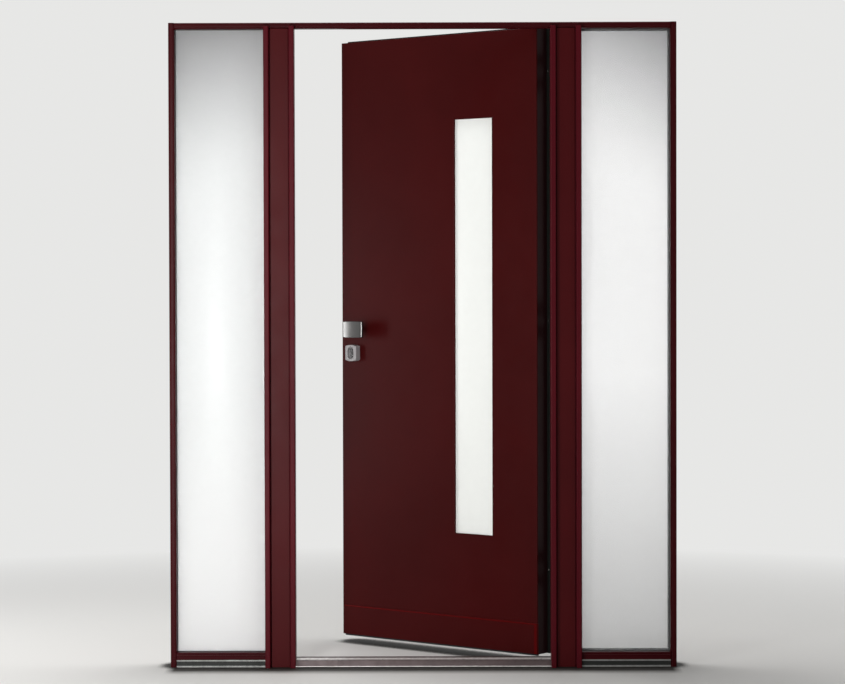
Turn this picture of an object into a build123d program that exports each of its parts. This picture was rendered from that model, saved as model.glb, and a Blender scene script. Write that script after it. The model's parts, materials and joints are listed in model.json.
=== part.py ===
"""Security door set: an inward-opening steel leaf between two frosted sidelights.

The set stands on its threshold and sills, 1660 mm wide and 2110 mm high. It is drawn in
millimetres, X to the right as seen from outside, Y into the building and Z up. Depths are
counted from the front of the jambs. The origin is the middle of the threshold's underside.
The leaf is drawn shut and then swung to its rest angle about the hinge pins.
"""
import os

from build123d import *

# Frame as seen from outside
OPENING_WIDTH = 836
POST_WIDTH = 100
SIDELIGHT_WIDTH = 292
JAMB_WIDTH = 20
HEAD_HEIGHT = 20
FRAME_HEIGHT = 2110
FRAME_DEPTH = 96
FRAME_WALL = 3

# Stop noses, the raised strips on the posts and the recessed cover between them
STOP_DEPTH = 34
NOSE_ROUND = 7
STRIP_WIDTH = 17
STRIP_PROUD = 25
STRIP_ROUND = 3
STRIP_ABOVE_NOSE = 7
NOSE_BEAD = 4
NOSE_GROOVE_WIDTH = 1.5
NOSE_GROOVE_DEPTH = 2
COVER_THICK = 4
COVER_SHADOW_GAP = 3
COVER_ROUND = 1

# Threshold, sills and bottom rails
THRESHOLD_HEIGHT = 22
THRESHOLD_LIP = 6
THRESHOLD_RAMP = 28
THRESHOLD_WALL = 4
DRAIN_WIDTH = 6
DRAIN_DEPTH = 4
DRAIN_FROM_BACK = 30
SILL_HEIGHT = 24
SILL_BEAD = 5
SILL_GROOVE = 4
BOTTOM_RAIL_HEIGHT = 24
RAIL_ROUND = 4
RAIL_BEAD = 7

# Sidelight glazing
GLASS_BITE = 8
GLASS_EDGE_GAP = 2
SIDE_GLASS_THICK = 24
GLAZING_SEAL = 3
SEAL_SHOWS = 1.5
BEAD_DEPTH = 20
BEAD_SHOWS = 4
BEAD_CHAMFER = 6

# Anchor holes to the wall
ANCHOR_RADIUS = 4
ANCHOR_FROM_BACK = 8
ANCHOR_ABOVE_FLOOR = 200
ANCHOR_BELOW_TOP = 260
ANCHOR_COUNT = 4

# Leaf: how far it laps the opening, and the gaps round it when shut
LEAF_LAP = 12
LOCK_GAP = 10
HINGE_GAP = 7
TOP_GAP = 6
BOTTOM_GAP = 6
STOP_GAP = 6
HEAD_PLATE = 4
OUTER_PANEL = 6
PANEL_ROUND = 1.5
LIP_GAP = 6
LIP_LAP = 8
LIP_THICK = 6
INNER_PANEL = 14
INNER_PANEL_INSET = 30
INNER_PANEL_FOOT = 2

# Soft seals on the leaf
SOFT_CLEARANCE = 0.3
LIP_SEAL_MARGIN = 1
LIP_SEAL_ROUND = 2
SWEEP_THICK = 10
SWEEP_FROM_FRONT = 6
SWEEP_END_GAP = 5

# Kick plate on the outer face
KICK_THICK = 5
KICK_HEIGHT = 101
KICK_LOCK_INSET = 10
KICK_WRAP = 1.5
KICK_RETURN = 5
KICK_BEND = 3
KICK_FOOT = 2
KICK_ROUND = 1

# Tall glazed slot in the leaf
SLOT_WIDTH = 164
SLOT_HEIGHT = 1400
SLOT_FROM_HINGE_EDGE = 187.5
SLOT_FOOT = 411.5
SLOT_PANE_THICK = 28
SLOT_PANE_BITE = 10
TRIM_WALL = 3
TRIM_PROUD = 1
INNER_TRIM_FLANGE = 12
INNER_TRIM_THICK = 4

# Pull, lock and inside furniture
PULL_ABOVE_LOCK = 83
PULL_FROM_EDGE = 94
PULL_WIDTH = 90
PULL_TALL = 57
PULL_PLATE_THICK = 12
PULL_REACH = 59
PULL_CROWN = 2
PULL_BOW = 2.5
NECK_FROM_EDGE = 64
NECK_RADIUS = 11
ROSE_RADIUS = 20
ROSE_THICK = 3
LOCK_HEIGHT_ABOVE_FLOOR = 1016
LOCK_FROM_EDGE = 57
GUARD_WIDTH = 50
GUARD_TALL = 57
GUARD_THICK = 22
GUARD_ARCH = 4.5
GUARD_ROUND = 3
GUARD_WELL_WIDTH = 27
GUARD_WELL_TALL = 42
GUARD_WELL_DEPTH = 8
CYLINDER_RADIUS = 8.5
CYLINDER_WEB = 10
CYLINDER_TALL = 33
CYLINDER_PROUD = 3
CYLINDER_CLEARANCE = 0.2
KEYWAY_WIDTH = 2
KEYWAY_TALL = 9
KEYWAY_DEPTH = 6
INSIDE_ROSE_RADIUS = 26
INSIDE_ROSE_THICK = 8
LEVER_REACH = 46
LEVER_LENGTH = 128
LEVER_TALL = 20
LEVER_THICK = 11
KNOB_RADIUS = 15
KNOB_REACH = 32

# Bolt work on the lock edge
FACEPLATE_WIDTH = 28
FACEPLATE_THICK = 3
FACEPLATE_FOOT = 180
FACEPLATE_BELOW_TOP = 180
BOLT_RADIUS = 9
BOLT_CLEARANCE = 0.25
BOLT_LENGTH = 30
BOLT_STEP = 45
BOLT_GROUP = 3
BOLT_GROUP_BELOW_LOCK = 130
DEVIATOR_FROM_END = 200
LATCH_TALL = 38
LATCH_THICK = 12
LATCH_BEVEL = 7
STRIKE_MARGIN = 20
STRIKE_WIDTH = 32
STRIKE_BOLT_ROOM = 1.5

# Hinges
HINGE_ABOVE_FLOOR = 306
HINGE_BELOW_TOP = 150
HINGE_TALL = 120
KNUCKLE_RADIUS = 10
PIN_RADIUS = 5
PIN_CLEARANCE = 0.05
KNUCKLE_GAP = 0.3
PIN_BEYOND_LIP = 17
PIN_BEHIND_PANEL = 19
HINGE_PLATE_THICK = 5
HINGE_WEB = 10
FRAME_PLATE_WIDTH = 45
LEAF_PLATE_WIDTH = 25
ARM_FOOT = 13

# Rest pose, as the leaf stands in use
REST_ANGLE = 39.7

# Positions across the set, from its middle
half_opening = OPENING_WIDTH / 2
post_outside = half_opening + POST_WIDTH
glass_outside = post_outside + SIDELIGHT_WIDTH
half_width = glass_outside + JAMB_WIDTH
rebate_lock = half_opening + LEAF_LAP + LOCK_GAP
rebate_hinge = half_opening + LEAF_LAP + HINGE_GAP

# Heights
nose_under = FRAME_HEIGHT - HEAD_HEIGHT
head_soffit = FRAME_HEIGHT - HEAD_PLATE
leaf_top = head_soffit - TOP_GAP
leaf_bottom = THRESHOLD_HEIGHT + BOTTOM_GAP
rail_top = SILL_HEIGHT + BOTTOM_RAIL_HEIGHT
glass_seat = rail_top - GLASS_BITE

# Depths behind the front of the jambs
kick_front = STOP_DEPTH + STOP_GAP
leaf_front = kick_front + KICK_THICK
shell_front = leaf_front + OUTER_PANEL
lip_front = FRAME_DEPTH + LIP_GAP
lip_back = lip_front + LIP_THICK
panel_back = lip_back + INNER_PANEL
pane_front = STOP_DEPTH + GLAZING_SEAL
pane_back = pane_front + SIDE_GLASS_THICK
bead_back = pane_back + BEAD_DEPTH
slot_pane_back = shell_front + SLOT_PANE_THICK

# The leaf's edges when shut
leaf_lock_edge = -(half_opening + LEAF_LAP)
leaf_hinge_edge = half_opening + LEAF_LAP
lip_lock_edge = -(rebate_lock + LIP_LAP)
lip_hinge_edge = rebate_hinge + LIP_LAP
pin_x = lip_hinge_edge + PIN_BEYOND_LIP
pin_y = panel_back + PIN_BEHIND_PANEL

# The glazed slot, and the furniture on the leaf
slot_right = leaf_hinge_edge - SLOT_FROM_HINGE_EDGE
slot_left = slot_right - SLOT_WIDTH
slot_top = SLOT_FOOT + SLOT_HEIGHT
pull_x = leaf_lock_edge + PULL_FROM_EDGE
neck_x = leaf_lock_edge + NECK_FROM_EDGE
pull_height = LOCK_HEIGHT_ABOVE_FLOOR + PULL_ABOVE_LOCK
lock_x = leaf_lock_edge + LOCK_FROM_EDGE
edge_middle = (shell_front + lip_front) / 2
hinge_top = FRAME_HEIGHT - HINGE_BELOW_TOP
hinge_heights = {
    "lower": HINGE_ABOVE_FLOOR,
    "middle": (HINGE_ABOVE_FLOOR + hinge_top) / 2,
    "upper": hinge_top,
}
faceplate_top = leaf_top - FACEPLATE_BELOW_TOP
bolt_lowest = LOCK_HEIGHT_ABOVE_FLOOR - BOLT_GROUP_BELOW_LOCK
bolt_heights = [bolt_lowest + BOLT_STEP * i for i in range(BOLT_GROUP)]
bolt_heights += [FACEPLATE_FOOT + DEVIATOR_FROM_END, faceplate_top - DEVIATOR_FROM_END]


def rectangle(left, right, low, high):
    """A rectangle given by its four sides."""
    middle = Pos((left + right) / 2, (low + high) / 2)
    return middle * Rectangle(right - left, high - low)


def upright(outline, bottom, top):
    """A plan section, X and depth, drawn up from one height to another."""
    return extrude(Plane.XY.offset(bottom) * outline, amount=top - bottom)


def across(outline, left, right):
    """A side section, depth and height, drawn along X."""
    return extrude(Plane.YZ.offset(left) * outline, amount=right - left)


def slab(outline, front, back):
    """A front view, X and height, given its thickness from front to back."""
    return extrude(Plane.XZ.offset(-back) * outline, amount=back - front)


def polygon(points):
    """A closed flat outline through the points given."""
    return make_face(Polyline(*points, close=True))


def corners_at(outline, places):
    """The outline's corners that lie at the given places."""
    found = []
    for x, y in places:
        found.append(outline.vertices().sort_by_distance(Vector(x, y, 0))[0])
    return found


def rounded(outline, places, radius):
    """The outline with its named corners rounded."""
    return fillet(corners_at(outline, places), radius)


def soften_front(solid, radius):
    """Round the edges of the face that looks outside."""
    return fillet(solid.faces().sort_by(Axis.Y)[0].edges(), radius)


def hollow(outline):
    """A folded section of the frame's sheet thickness."""
    return outline - offset(outline, amount=-FRAME_WALL, kind=Kind.INTERSECTION)


def mirrored(solid):
    """The same piece on the other side of the set."""
    return mirror(solid, about=Plane.YZ)


def anchor_heights():
    """Heights of the wall anchors, from the floor."""
    step = (FRAME_HEIGHT - ANCHOR_BELOW_TOP - ANCHOR_ABOVE_FLOOR) / (ANCHOR_COUNT - 1)
    return [ANCHOR_ABOVE_FLOOR + step * i for i in range(ANCHOR_COUNT)]


def make_jamb():
    """Left outer jamb: a rounded and grooved nose, and a narrow leg behind the glass."""
    leg = -half_width + JAMB_WIDTH - GLASS_BITE
    nose = -half_width + JAMB_WIDTH
    section = polygon([
        (-half_width, 0),
        (nose, 0),
        (nose, STOP_DEPTH),
        (leg, STOP_DEPTH),
        (leg, FRAME_DEPTH),
        (-half_width, FRAME_DEPTH),
    ])
    section = rounded(section, [(-half_width, 0), (nose, 0)], NOSE_ROUND)
    chamber = rectangle(
        -half_width + FRAME_WALL, nose - FRAME_WALL, FRAME_WALL, STOP_DEPTH - FRAME_WALL)
    chamber = fillet(chamber.vertices(), NOSE_ROUND - FRAME_WALL)
    groove = rectangle(
        nose - NOSE_BEAD - NOSE_GROOVE_WIDTH, nose - NOSE_BEAD, -NOSE_ROUND, NOSE_GROOVE_DEPTH)
    jamb = upright(section - chamber - groove, 0, FRAME_HEIGHT)
    for height in anchor_heights():
        drill = Rot(0, 90, 0) * Cylinder(ANCHOR_RADIUS, 2 * JAMB_WIDTH)
        jamb -= Pos(-half_width, FRAME_DEPTH - ANCHOR_FROM_BACK, height) * drill
    return jamb


def make_head():
    """Head rail between the jambs: a grooved nose and a thin plate over the leaf."""
    section = polygon([
        (0, nose_under),
        (STOP_DEPTH, nose_under),
        (STOP_DEPTH, head_soffit),
        (FRAME_DEPTH, head_soffit),
        (FRAME_DEPTH, FRAME_HEIGHT),
        (0, FRAME_HEIGHT),
    ])
    section = rounded(section, [(0, nose_under), (0, FRAME_HEIGHT)], NOSE_ROUND)
    bead_top = nose_under + NOSE_BEAD
    section -= rectangle(
        -NOSE_ROUND, NOSE_GROOVE_DEPTH, bead_top, bead_top + NOSE_GROOVE_WIDTH)
    bore = rectangle(
        HEAD_PLATE, STOP_DEPTH - HEAD_PLATE, nose_under + HEAD_PLATE, head_soffit)
    front = across(section - fillet(bore.vertices(), FRAME_WALL), -glass_outside, glass_outside)
    leg = glass_outside + GLASS_BITE
    plate = rectangle(STOP_DEPTH, FRAME_DEPTH, head_soffit, FRAME_HEIGHT)
    return front + across(plate, -leg, leg)


def make_post(side, rebate):
    """Post beside the opening: two proud strips, a recessed web, rebates for leaf and glass."""
    leg = post_outside - GLASS_BITE
    inner = half_opening + STRIP_WIDTH
    outer = post_outside - STRIP_WIDTH
    section = polygon([
        (half_opening, -STRIP_PROUD),
        (inner, -STRIP_PROUD),
        (inner, COVER_THICK),
        (outer, COVER_THICK),
        (outer, -STRIP_PROUD),
        (post_outside, -STRIP_PROUD),
        (post_outside, STOP_DEPTH),
        (leg, STOP_DEPTH),
        (leg, FRAME_DEPTH),
        (rebate, FRAME_DEPTH),
        (rebate, STOP_DEPTH),
        (half_opening, STOP_DEPTH),
    ])
    strip_corners = [
        (half_opening, -STRIP_PROUD),
        (inner, -STRIP_PROUD),
        (outer, -STRIP_PROUD),
        (post_outside, -STRIP_PROUD),
    ]
    section = rounded(section, strip_corners, STRIP_ROUND)
    post = upright(hollow(section), 0, head_soffit)
    under_nose = rectangle(0, STOP_DEPTH, nose_under, FRAME_HEIGHT)
    post -= across(under_nose, half_opening, post_outside)
    above_strips = rectangle(-2 * STRIP_PROUD, 0, nose_under + STRIP_ABOVE_NOSE, FRAME_HEIGHT)
    post -= across(above_strips, half_opening, post_outside)
    return post if side == "hinge" else mirrored(post)


def make_post_cover():
    """Flat plate between the strips of the right post, with a shadow gap each side."""
    left = half_opening + STRIP_WIDTH + COVER_SHADOW_GAP
    right = post_outside - STRIP_WIDTH - COVER_SHADOW_GAP
    section = rectangle(left, right, 0, COVER_THICK)
    section = rounded(section, [(left, 0), (right, 0)], COVER_ROUND)
    return upright(section, 0, nose_under)


def between_noses(section_front, section_back, left, right, left_back, right_back):
    """A rail that is narrower between the noses than between the legs behind them."""
    return across(section_front, left, right) + across(section_back, left_back, right_back)


def make_threshold():
    """Threshold with a ramped front, a drain groove and hollow chambers."""
    front_edge = -STRIP_PROUD
    ramp_top = front_edge + THRESHOLD_RAMP
    nose = polygon([
        (front_edge, 0),
        (front_edge, THRESHOLD_LIP),
        (ramp_top, THRESHOLD_HEIGHT),
        (STOP_DEPTH, THRESHOLD_HEIGHT),
        (STOP_DEPTH, 0),
    ])
    nose = rounded(nose, [(front_edge, THRESHOLD_LIP)], THRESHOLD_LIP / 3)
    chamber = rectangle(
        ramp_top, STOP_DEPTH - THRESHOLD_WALL, THRESHOLD_WALL, THRESHOLD_HEIGHT - THRESHOLD_WALL)
    back = rectangle(STOP_DEPTH, FRAME_DEPTH, 0, THRESHOLD_HEIGHT)
    drain = FRAME_DEPTH - DRAIN_FROM_BACK
    back -= rectangle(
        drain, drain + DRAIN_WIDTH, THRESHOLD_HEIGHT - DRAIN_DEPTH, THRESHOLD_HEIGHT)
    for start, end in ((STOP_DEPTH, drain), (drain + DRAIN_WIDTH, FRAME_DEPTH)):
        back -= rectangle(
            start + THRESHOLD_WALL,
            end - THRESHOLD_WALL,
            THRESHOLD_WALL,
            THRESHOLD_HEIGHT - THRESHOLD_WALL,
        )
    return between_noses(
        nose - chamber, back, -half_opening, half_opening, -rebate_lock, rebate_hinge)


def make_sill():
    """Metal sill under the left sidelight, grooved along its front."""
    front = rectangle(0, STOP_DEPTH, 0, SILL_HEIGHT)
    front -= rectangle(0, SILL_GROOVE, SILL_BEAD, SILL_HEIGHT - SILL_BEAD)
    back = rectangle(STOP_DEPTH, FRAME_DEPTH, 0, SILL_HEIGHT)
    leg_left = -(glass_outside + GLASS_BITE)
    leg_right = -(post_outside - GLASS_BITE)
    return between_noses(front, back, -glass_outside, -post_outside, leg_left, leg_right)


def make_bottom_rail():
    """Painted rail that carries the left sidelight's glass."""
    front = rectangle(0, STOP_DEPTH, SILL_HEIGHT, rail_top)
    front = rounded(front, [(0, rail_top)], RAIL_ROUND)
    bead_foot = rail_top - RAIL_BEAD
    front -= rectangle(0, NOSE_GROOVE_DEPTH, bead_foot - NOSE_GROOVE_WIDTH, bead_foot)
    back = rectangle(STOP_DEPTH, FRAME_DEPTH, SILL_HEIGHT, glass_seat)
    leg_left = -(glass_outside + GLASS_BITE)
    leg_right = -(post_outside - GLASS_BITE)
    return between_noses(front, back, -glass_outside, -post_outside, leg_left, leg_right)


def glazing_ring(shows):
    """Front view of a ring in the left sidelight's rebate, a little past the frame's edges."""
    outside = rectangle(
        -(glass_outside + GLASS_BITE), -(post_outside - GLASS_BITE), glass_seat, head_soffit)
    inside = rectangle(
        -glass_outside + shows, -post_outside - shows, rail_top + shows, nose_under - shows)
    return outside - inside


def make_side_glass():
    """Frosted sealed unit of the left sidelight."""
    pane = rectangle(
        -(glass_outside + GLASS_BITE - GLASS_EDGE_GAP),
        -(post_outside - GLASS_BITE + GLASS_EDGE_GAP),
        glass_seat,
        head_soffit - GLASS_EDGE_GAP,
    )
    return slab(pane, pane_front, pane_back)


def make_side_seal():
    """Rubber between the left sidelight's glass and the noses."""
    return slab(glazing_ring(SEAL_SHOWS), STOP_DEPTH, pane_front)


def make_side_bead():
    """Glazing bead behind the left sidelight's glass, bevelled towards the glass."""
    bead = slab(glazing_ring(BEAD_SHOWS), pane_back, bead_back)
    back_face = bead.faces().sort_by(Axis.Y)[-1]
    return chamfer(back_face.inner_wires()[0].edges(), BEAD_CHAMFER)


def make_shell():
    """Steel body of the leaf with its lip, the slot for the pane and the lock edge's pockets."""
    body = rectangle(leaf_lock_edge, leaf_hinge_edge, leaf_bottom, leaf_top)
    lip = rectangle(lip_lock_edge, lip_hinge_edge, leaf_bottom, FRAME_HEIGHT)
    shell = slab(body, shell_front, lip_front) + slab(lip, lip_front, lip_back)
    pane = rectangle(
        slot_left - SLOT_PANE_BITE,
        slot_right + SLOT_PANE_BITE,
        SLOT_FOOT - SLOT_PANE_BITE,
        slot_top + SLOT_PANE_BITE,
    )
    shell -= slab(pane, shell_front, lip_back)
    shell -= faceplate_blank()
    for height in bolt_heights:
        shell -= edge_rod(BOLT_RADIUS + BOLT_CLEARANCE, height, BOLT_LENGTH)
    shell -= latch_blank(BOLT_CLEARANCE, BOLT_LENGTH)
    return shell


def edge_rod(radius, height, length):
    """A round rod let into the lock edge, its outer end flush with the edge."""
    rod = Rot(0, 90, 0) * Cylinder(radius, length)
    return Pos(leaf_lock_edge + length / 2, edge_middle, height) * rod


def latch_blank(extra, length):
    """The latch's block in the lock edge, larger all round by the clearance."""
    section = rectangle(
        edge_middle - LATCH_THICK / 2 - extra,
        edge_middle + LATCH_THICK / 2 + extra,
        pull_height - LATCH_TALL / 2 - extra,
        pull_height + LATCH_TALL / 2 + extra,
    )
    return across(section, leaf_lock_edge, leaf_lock_edge + length)


def faceplate_blank():
    """The long plate along the lock edge before its holes."""
    section = rectangle(
        edge_middle - FACEPLATE_WIDTH / 2,
        edge_middle + FACEPLATE_WIDTH / 2,
        FACEPLATE_FOOT,
        faceplate_top,
    )
    return across(section, leaf_lock_edge, leaf_lock_edge + FACEPLATE_THICK)


def make_faceplate():
    """Lock faceplate with a hole for each bolt and for the latch."""
    plate = faceplate_blank()
    for height in bolt_heights:
        plate -= edge_rod(BOLT_RADIUS + BOLT_CLEARANCE, height, BOLT_LENGTH)
    return plate - latch_blank(BOLT_CLEARANCE, BOLT_LENGTH)


def make_bolts():
    """Round bolts and the bevelled latch, drawn in flush with the faceplate."""
    rods = [edge_rod(BOLT_RADIUS, height, BOLT_LENGTH) for height in bolt_heights]
    latch = latch_blank(0, BOLT_LENGTH)
    tip = latch.faces().sort_by(Axis.X)[0].edges().filter_by(Axis.Z).sort_by(Axis.Y)[-1]
    rods.append(chamfer(tip, LATCH_BEVEL))
    return Compound(children=rods)


def strike_blank():
    """The strike plate in the lock post's rebate before its holes."""
    section = rectangle(
        edge_middle - STRIKE_WIDTH / 2,
        edge_middle + STRIKE_WIDTH / 2,
        FACEPLATE_FOOT - STRIKE_MARGIN,
        faceplate_top + STRIKE_MARGIN,
    )
    return across(section, -rebate_lock - FRAME_WALL, -rebate_lock)


def make_strike():
    """Strike plate with a hole opposite each bolt and the latch."""
    plate = strike_blank()
    reach = 2 * (rebate_lock - half_opening)
    for height in bolt_heights:
        drill = Rot(0, 90, 0) * Cylinder(BOLT_RADIUS + STRIKE_BOLT_ROOM, reach)
        plate -= Pos(-rebate_lock, edge_middle, height) * drill
    latch = rectangle(
        edge_middle - LATCH_THICK / 2 - STRIKE_BOLT_ROOM,
        edge_middle + LATCH_THICK / 2 + STRIKE_BOLT_ROOM,
        pull_height - LATCH_TALL / 2 - STRIKE_BOLT_ROOM,
        pull_height + LATCH_TALL / 2 + STRIKE_BOLT_ROOM,
    )
    return plate - across(latch, -rebate_lock - reach, -rebate_lock + reach)


def make_outer_panel():
    """Painted outer skin with the slot cut through it."""
    sheet = rectangle(leaf_lock_edge, leaf_hinge_edge, leaf_bottom, leaf_top)
    panel = soften_front(slab(sheet, leaf_front, shell_front), PANEL_ROUND)
    hole = rectangle(
        slot_left - TRIM_WALL, slot_right + TRIM_WALL, SLOT_FOOT - TRIM_WALL, slot_top + TRIM_WALL)
    return panel - slab(hole, leaf_front, shell_front)


def make_inner_panel():
    """Painted inner skin, set in from the lip's edges, with the slot cut through it."""
    sheet = rectangle(
        lip_lock_edge + INNER_PANEL_INSET,
        lip_hinge_edge - INNER_PANEL_INSET,
        leaf_bottom + INNER_PANEL_FOOT,
        FRAME_HEIGHT - INNER_PANEL_INSET,
    )
    panel = slab(sheet, lip_back, panel_back)
    panel = fillet(panel.faces().sort_by(Axis.Y)[-1].edges(), PANEL_ROUND)
    hole = rectangle(
        slot_left - SLOT_PANE_BITE,
        slot_right + SLOT_PANE_BITE,
        SLOT_FOOT - SLOT_PANE_BITE,
        slot_top + SLOT_PANE_BITE,
    )
    return panel - slab(hole, lip_back, panel_back)


def make_slot_pane():
    """Frosted security pane in the slot."""
    pane = rectangle(
        slot_left - SLOT_PANE_BITE,
        slot_right + SLOT_PANE_BITE,
        SLOT_FOOT - SLOT_PANE_BITE,
        slot_top + SLOT_PANE_BITE,
    )
    return slab(pane, shell_front, slot_pane_back)


def make_outer_trim():
    """Thin frame round the slot on the outer face."""
    outside = rectangle(
        slot_left - TRIM_WALL, slot_right + TRIM_WALL, SLOT_FOOT - TRIM_WALL, slot_top + TRIM_WALL)
    inside = rectangle(slot_left, slot_right, SLOT_FOOT, slot_top)
    return slab(outside - inside, leaf_front - TRIM_PROUD, shell_front)


def make_inner_trim():
    """Flanged frame that holds the pane from inside."""
    inside = rectangle(slot_left, slot_right, SLOT_FOOT, slot_top)
    sleeve = rectangle(
        slot_left - SLOT_PANE_BITE,
        slot_right + SLOT_PANE_BITE,
        SLOT_FOOT - SLOT_PANE_BITE,
        slot_top + SLOT_PANE_BITE,
    )
    reach = SLOT_PANE_BITE + INNER_TRIM_FLANGE
    flange = rectangle(
        slot_left - reach, slot_right + reach, SLOT_FOOT - reach, slot_top + reach)
    trim = slab(sleeve - inside, slot_pane_back, panel_back)
    return trim + slab(flange - inside, panel_back, panel_back + INNER_TRIM_THICK)


def make_lip_seal():
    """Rubber round three sides of the lip, facing the back of the frame."""
    outside = rectangle(lip_lock_edge, lip_hinge_edge, leaf_bottom, FRAME_HEIGHT)
    inside = rectangle(
        leaf_lock_edge - LIP_SEAL_MARGIN,
        leaf_hinge_edge + LIP_SEAL_MARGIN,
        leaf_bottom,
        leaf_top + LIP_SEAL_MARGIN,
    )
    seal = slab(outside - inside, FRAME_DEPTH + SOFT_CLEARANCE, lip_front)
    front = seal.faces().sort_by(Axis.Y)[0]
    return fillet(front.edges().filter_by(Axis.Z), LIP_SEAL_ROUND)


def make_sweep():
    """Sweep seal under the leaf, just clear of the threshold."""
    front = leaf_front + SWEEP_FROM_FRONT
    section = rectangle(
        front, front + SWEEP_THICK, THRESHOLD_HEIGHT + SOFT_CLEARANCE, leaf_bottom)
    return across(section, leaf_lock_edge + SWEEP_END_GAP, leaf_hinge_edge - SWEEP_END_GAP)


def make_kick_plate():
    """Plate across the foot of the outer face, folded round the hinge edge."""
    foot = leaf_bottom + KICK_FOOT
    left = leaf_lock_edge + KICK_LOCK_INSET
    right = leaf_hinge_edge + KICK_WRAP
    section = rectangle(left, right, kick_front, leaf_front)
    section += rectangle(leaf_hinge_edge, right, kick_front, leaf_front + KICK_RETURN)
    section = rounded(section, [(right, kick_front)], KICK_BEND)
    plate = upright(section, foot, foot + KICK_HEIGHT)
    front_edges = plate.faces().sort_by(Axis.Y)[0].edges()
    return chamfer(front_edges.filter_by(Axis.X).sort_by(Axis.Z)[-1], KICK_ROUND)


def crowned(width, tall, crown):
    """A rectangle whose top and bottom edges are slight arches."""
    half = width / 2
    flat = tall / 2 - crown
    edges = [
        Line((-half, flat), (-half, -flat)),
        ThreePointArc((-half, -flat), (0, -tall / 2), (half, -flat)),
        Line((half, -flat), (half, flat)),
        ThreePointArc((half, flat), (0, tall / 2), (-half, flat)),
    ]
    return make_face(Wire(edges))


def make_pull_plate():
    """Grip plate of the outside pull, its front bowed and its ends reaching past the neck."""
    outline = Pos(pull_x, pull_height) * crowned(PULL_WIDTH, PULL_TALL, PULL_CROWN)
    front = leaf_front - PULL_REACH
    back = front + PULL_PLATE_THICK
    left = pull_x - PULL_WIDTH / 2
    right = pull_x + PULL_WIDTH / 2
    bowed = [
        ThreePointArc((left, front + PULL_BOW), (pull_x, front), (right, front + PULL_BOW)),
        Line((right, front + PULL_BOW), (right, back)),
        Line((right, back), (left, back)),
        Line((left, back), (left, front + PULL_BOW)),
    ]
    stock = upright(
        make_face(Wire(bowed)), pull_height - PULL_TALL, pull_height + PULL_TALL)
    return stock & slab(outline, front, back)


def turned(profile):
    """A turned piece from its radius and height points, standing on Z."""
    closed = [(0, profile[0][1])] + profile + [(0, profile[-1][1])]
    return revolve(Plane.XZ * polygon(closed), axis=Axis.Z)


def make_pull_neck():
    """Turned neck between the leaf and the grip plate, with its rose."""
    reach = PULL_REACH - PULL_PLATE_THICK
    neck = turned([
        (ROSE_RADIUS, 0),
        (ROSE_RADIUS, ROSE_THICK),
        (NECK_RADIUS, ROSE_THICK),
        (NECK_RADIUS, reach),
    ])
    return Pos(neck_x, leaf_front, pull_height) * Rot(90, 0, 0) * neck


def cylinder_outline(extra):
    """Keyhole-shaped section of a profile cylinder, larger by the clearance."""
    web_round = CYLINDER_WEB / 2 + extra
    round_middle = CYLINDER_TALL / 2 - CYLINDER_RADIUS
    web_middle = CYLINDER_WEB / 2 - CYLINDER_TALL / 2
    outline = Pos(0, round_middle) * Circle(CYLINDER_RADIUS + extra)
    outline += rectangle(-web_round, web_round, web_middle, round_middle)
    return outline + Pos(0, web_middle) * Circle(web_round)


def make_lock_guard():
    """Arched cylinder guard with an oval well and the cylinder's hole."""
    place = Pos(lock_x, LOCK_HEIGHT_ABOVE_FLOOR)
    front = leaf_front - GUARD_THICK
    guard = slab(place * crowned(GUARD_WIDTH, GUARD_TALL, GUARD_ARCH), front, leaf_front)
    guard = fillet(guard.edges().filter_by(Axis.Y), GUARD_ROUND)
    guard = chamfer(guard.faces().sort_by(Axis.Y)[0].edges(), GUARD_ROUND / 2)
    well = place * SlotOverall(GUARD_WELL_TALL, GUARD_WELL_WIDTH, rotation=90)
    guard -= slab(well, front, front + GUARD_WELL_DEPTH)
    hole = place * cylinder_outline(CYLINDER_CLEARANCE)
    return guard - slab(hole, front, leaf_front)


def make_lock_cylinder():
    """Profile cylinder in the guard's well, with its keyway."""
    place = Pos(lock_x, LOCK_HEIGHT_ABOVE_FLOOR)
    front = leaf_front - GUARD_THICK + GUARD_WELL_DEPTH - CYLINDER_PROUD
    barrel = slab(place * cylinder_outline(0), front, leaf_front)
    plug_middle = CYLINDER_TALL / 2 - CYLINDER_RADIUS
    keyway = place * Pos(0, plug_middle) * Rectangle(KEYWAY_WIDTH, KEYWAY_TALL)
    return barrel - slab(keyway, front, front + KEYWAY_DEPTH)


def inside_rose():
    """Round rose of the inside furniture, standing on Z."""
    return turned([(INSIDE_ROSE_RADIUS, 0), (INSIDE_ROSE_RADIUS, INSIDE_ROSE_THICK)])


def make_inside_lever():
    """Inside lever on its rose, pointing to the hinges."""
    neck = turned([(NECK_RADIUS, 0), (NECK_RADIUS, LEVER_REACH)])
    middle = LEVER_LENGTH / 2 - LEVER_TALL / 2
    grip = extrude(Pos(middle, 0) * SlotOverall(LEVER_LENGTH, LEVER_TALL), amount=LEVER_THICK)
    lever = inside_rose() + neck + Pos(0, 0, LEVER_REACH) * grip
    return Pos(lock_x, panel_back, pull_height) * Rot(-90, 0, 0) * lever


def make_inside_knob():
    """Turning knob of the lock on the inside, on its own rose."""
    shoulder = INSIDE_ROSE_THICK + ROSE_THICK
    knob = turned([
        (NECK_RADIUS, 0),
        (NECK_RADIUS, shoulder),
        (KNOB_RADIUS, shoulder),
        (KNOB_RADIUS, KNOB_REACH),
    ])
    place = Pos(lock_x, panel_back, LOCK_HEIGHT_ABOVE_FLOOR)
    return place * Rot(-90, 0, 0) * (inside_rose() + knob)


def knuckle(radius, low, high):
    """A round length on the hinge's pin line."""
    return upright(Pos(pin_x, pin_y) * Circle(radius), low, high)


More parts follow.
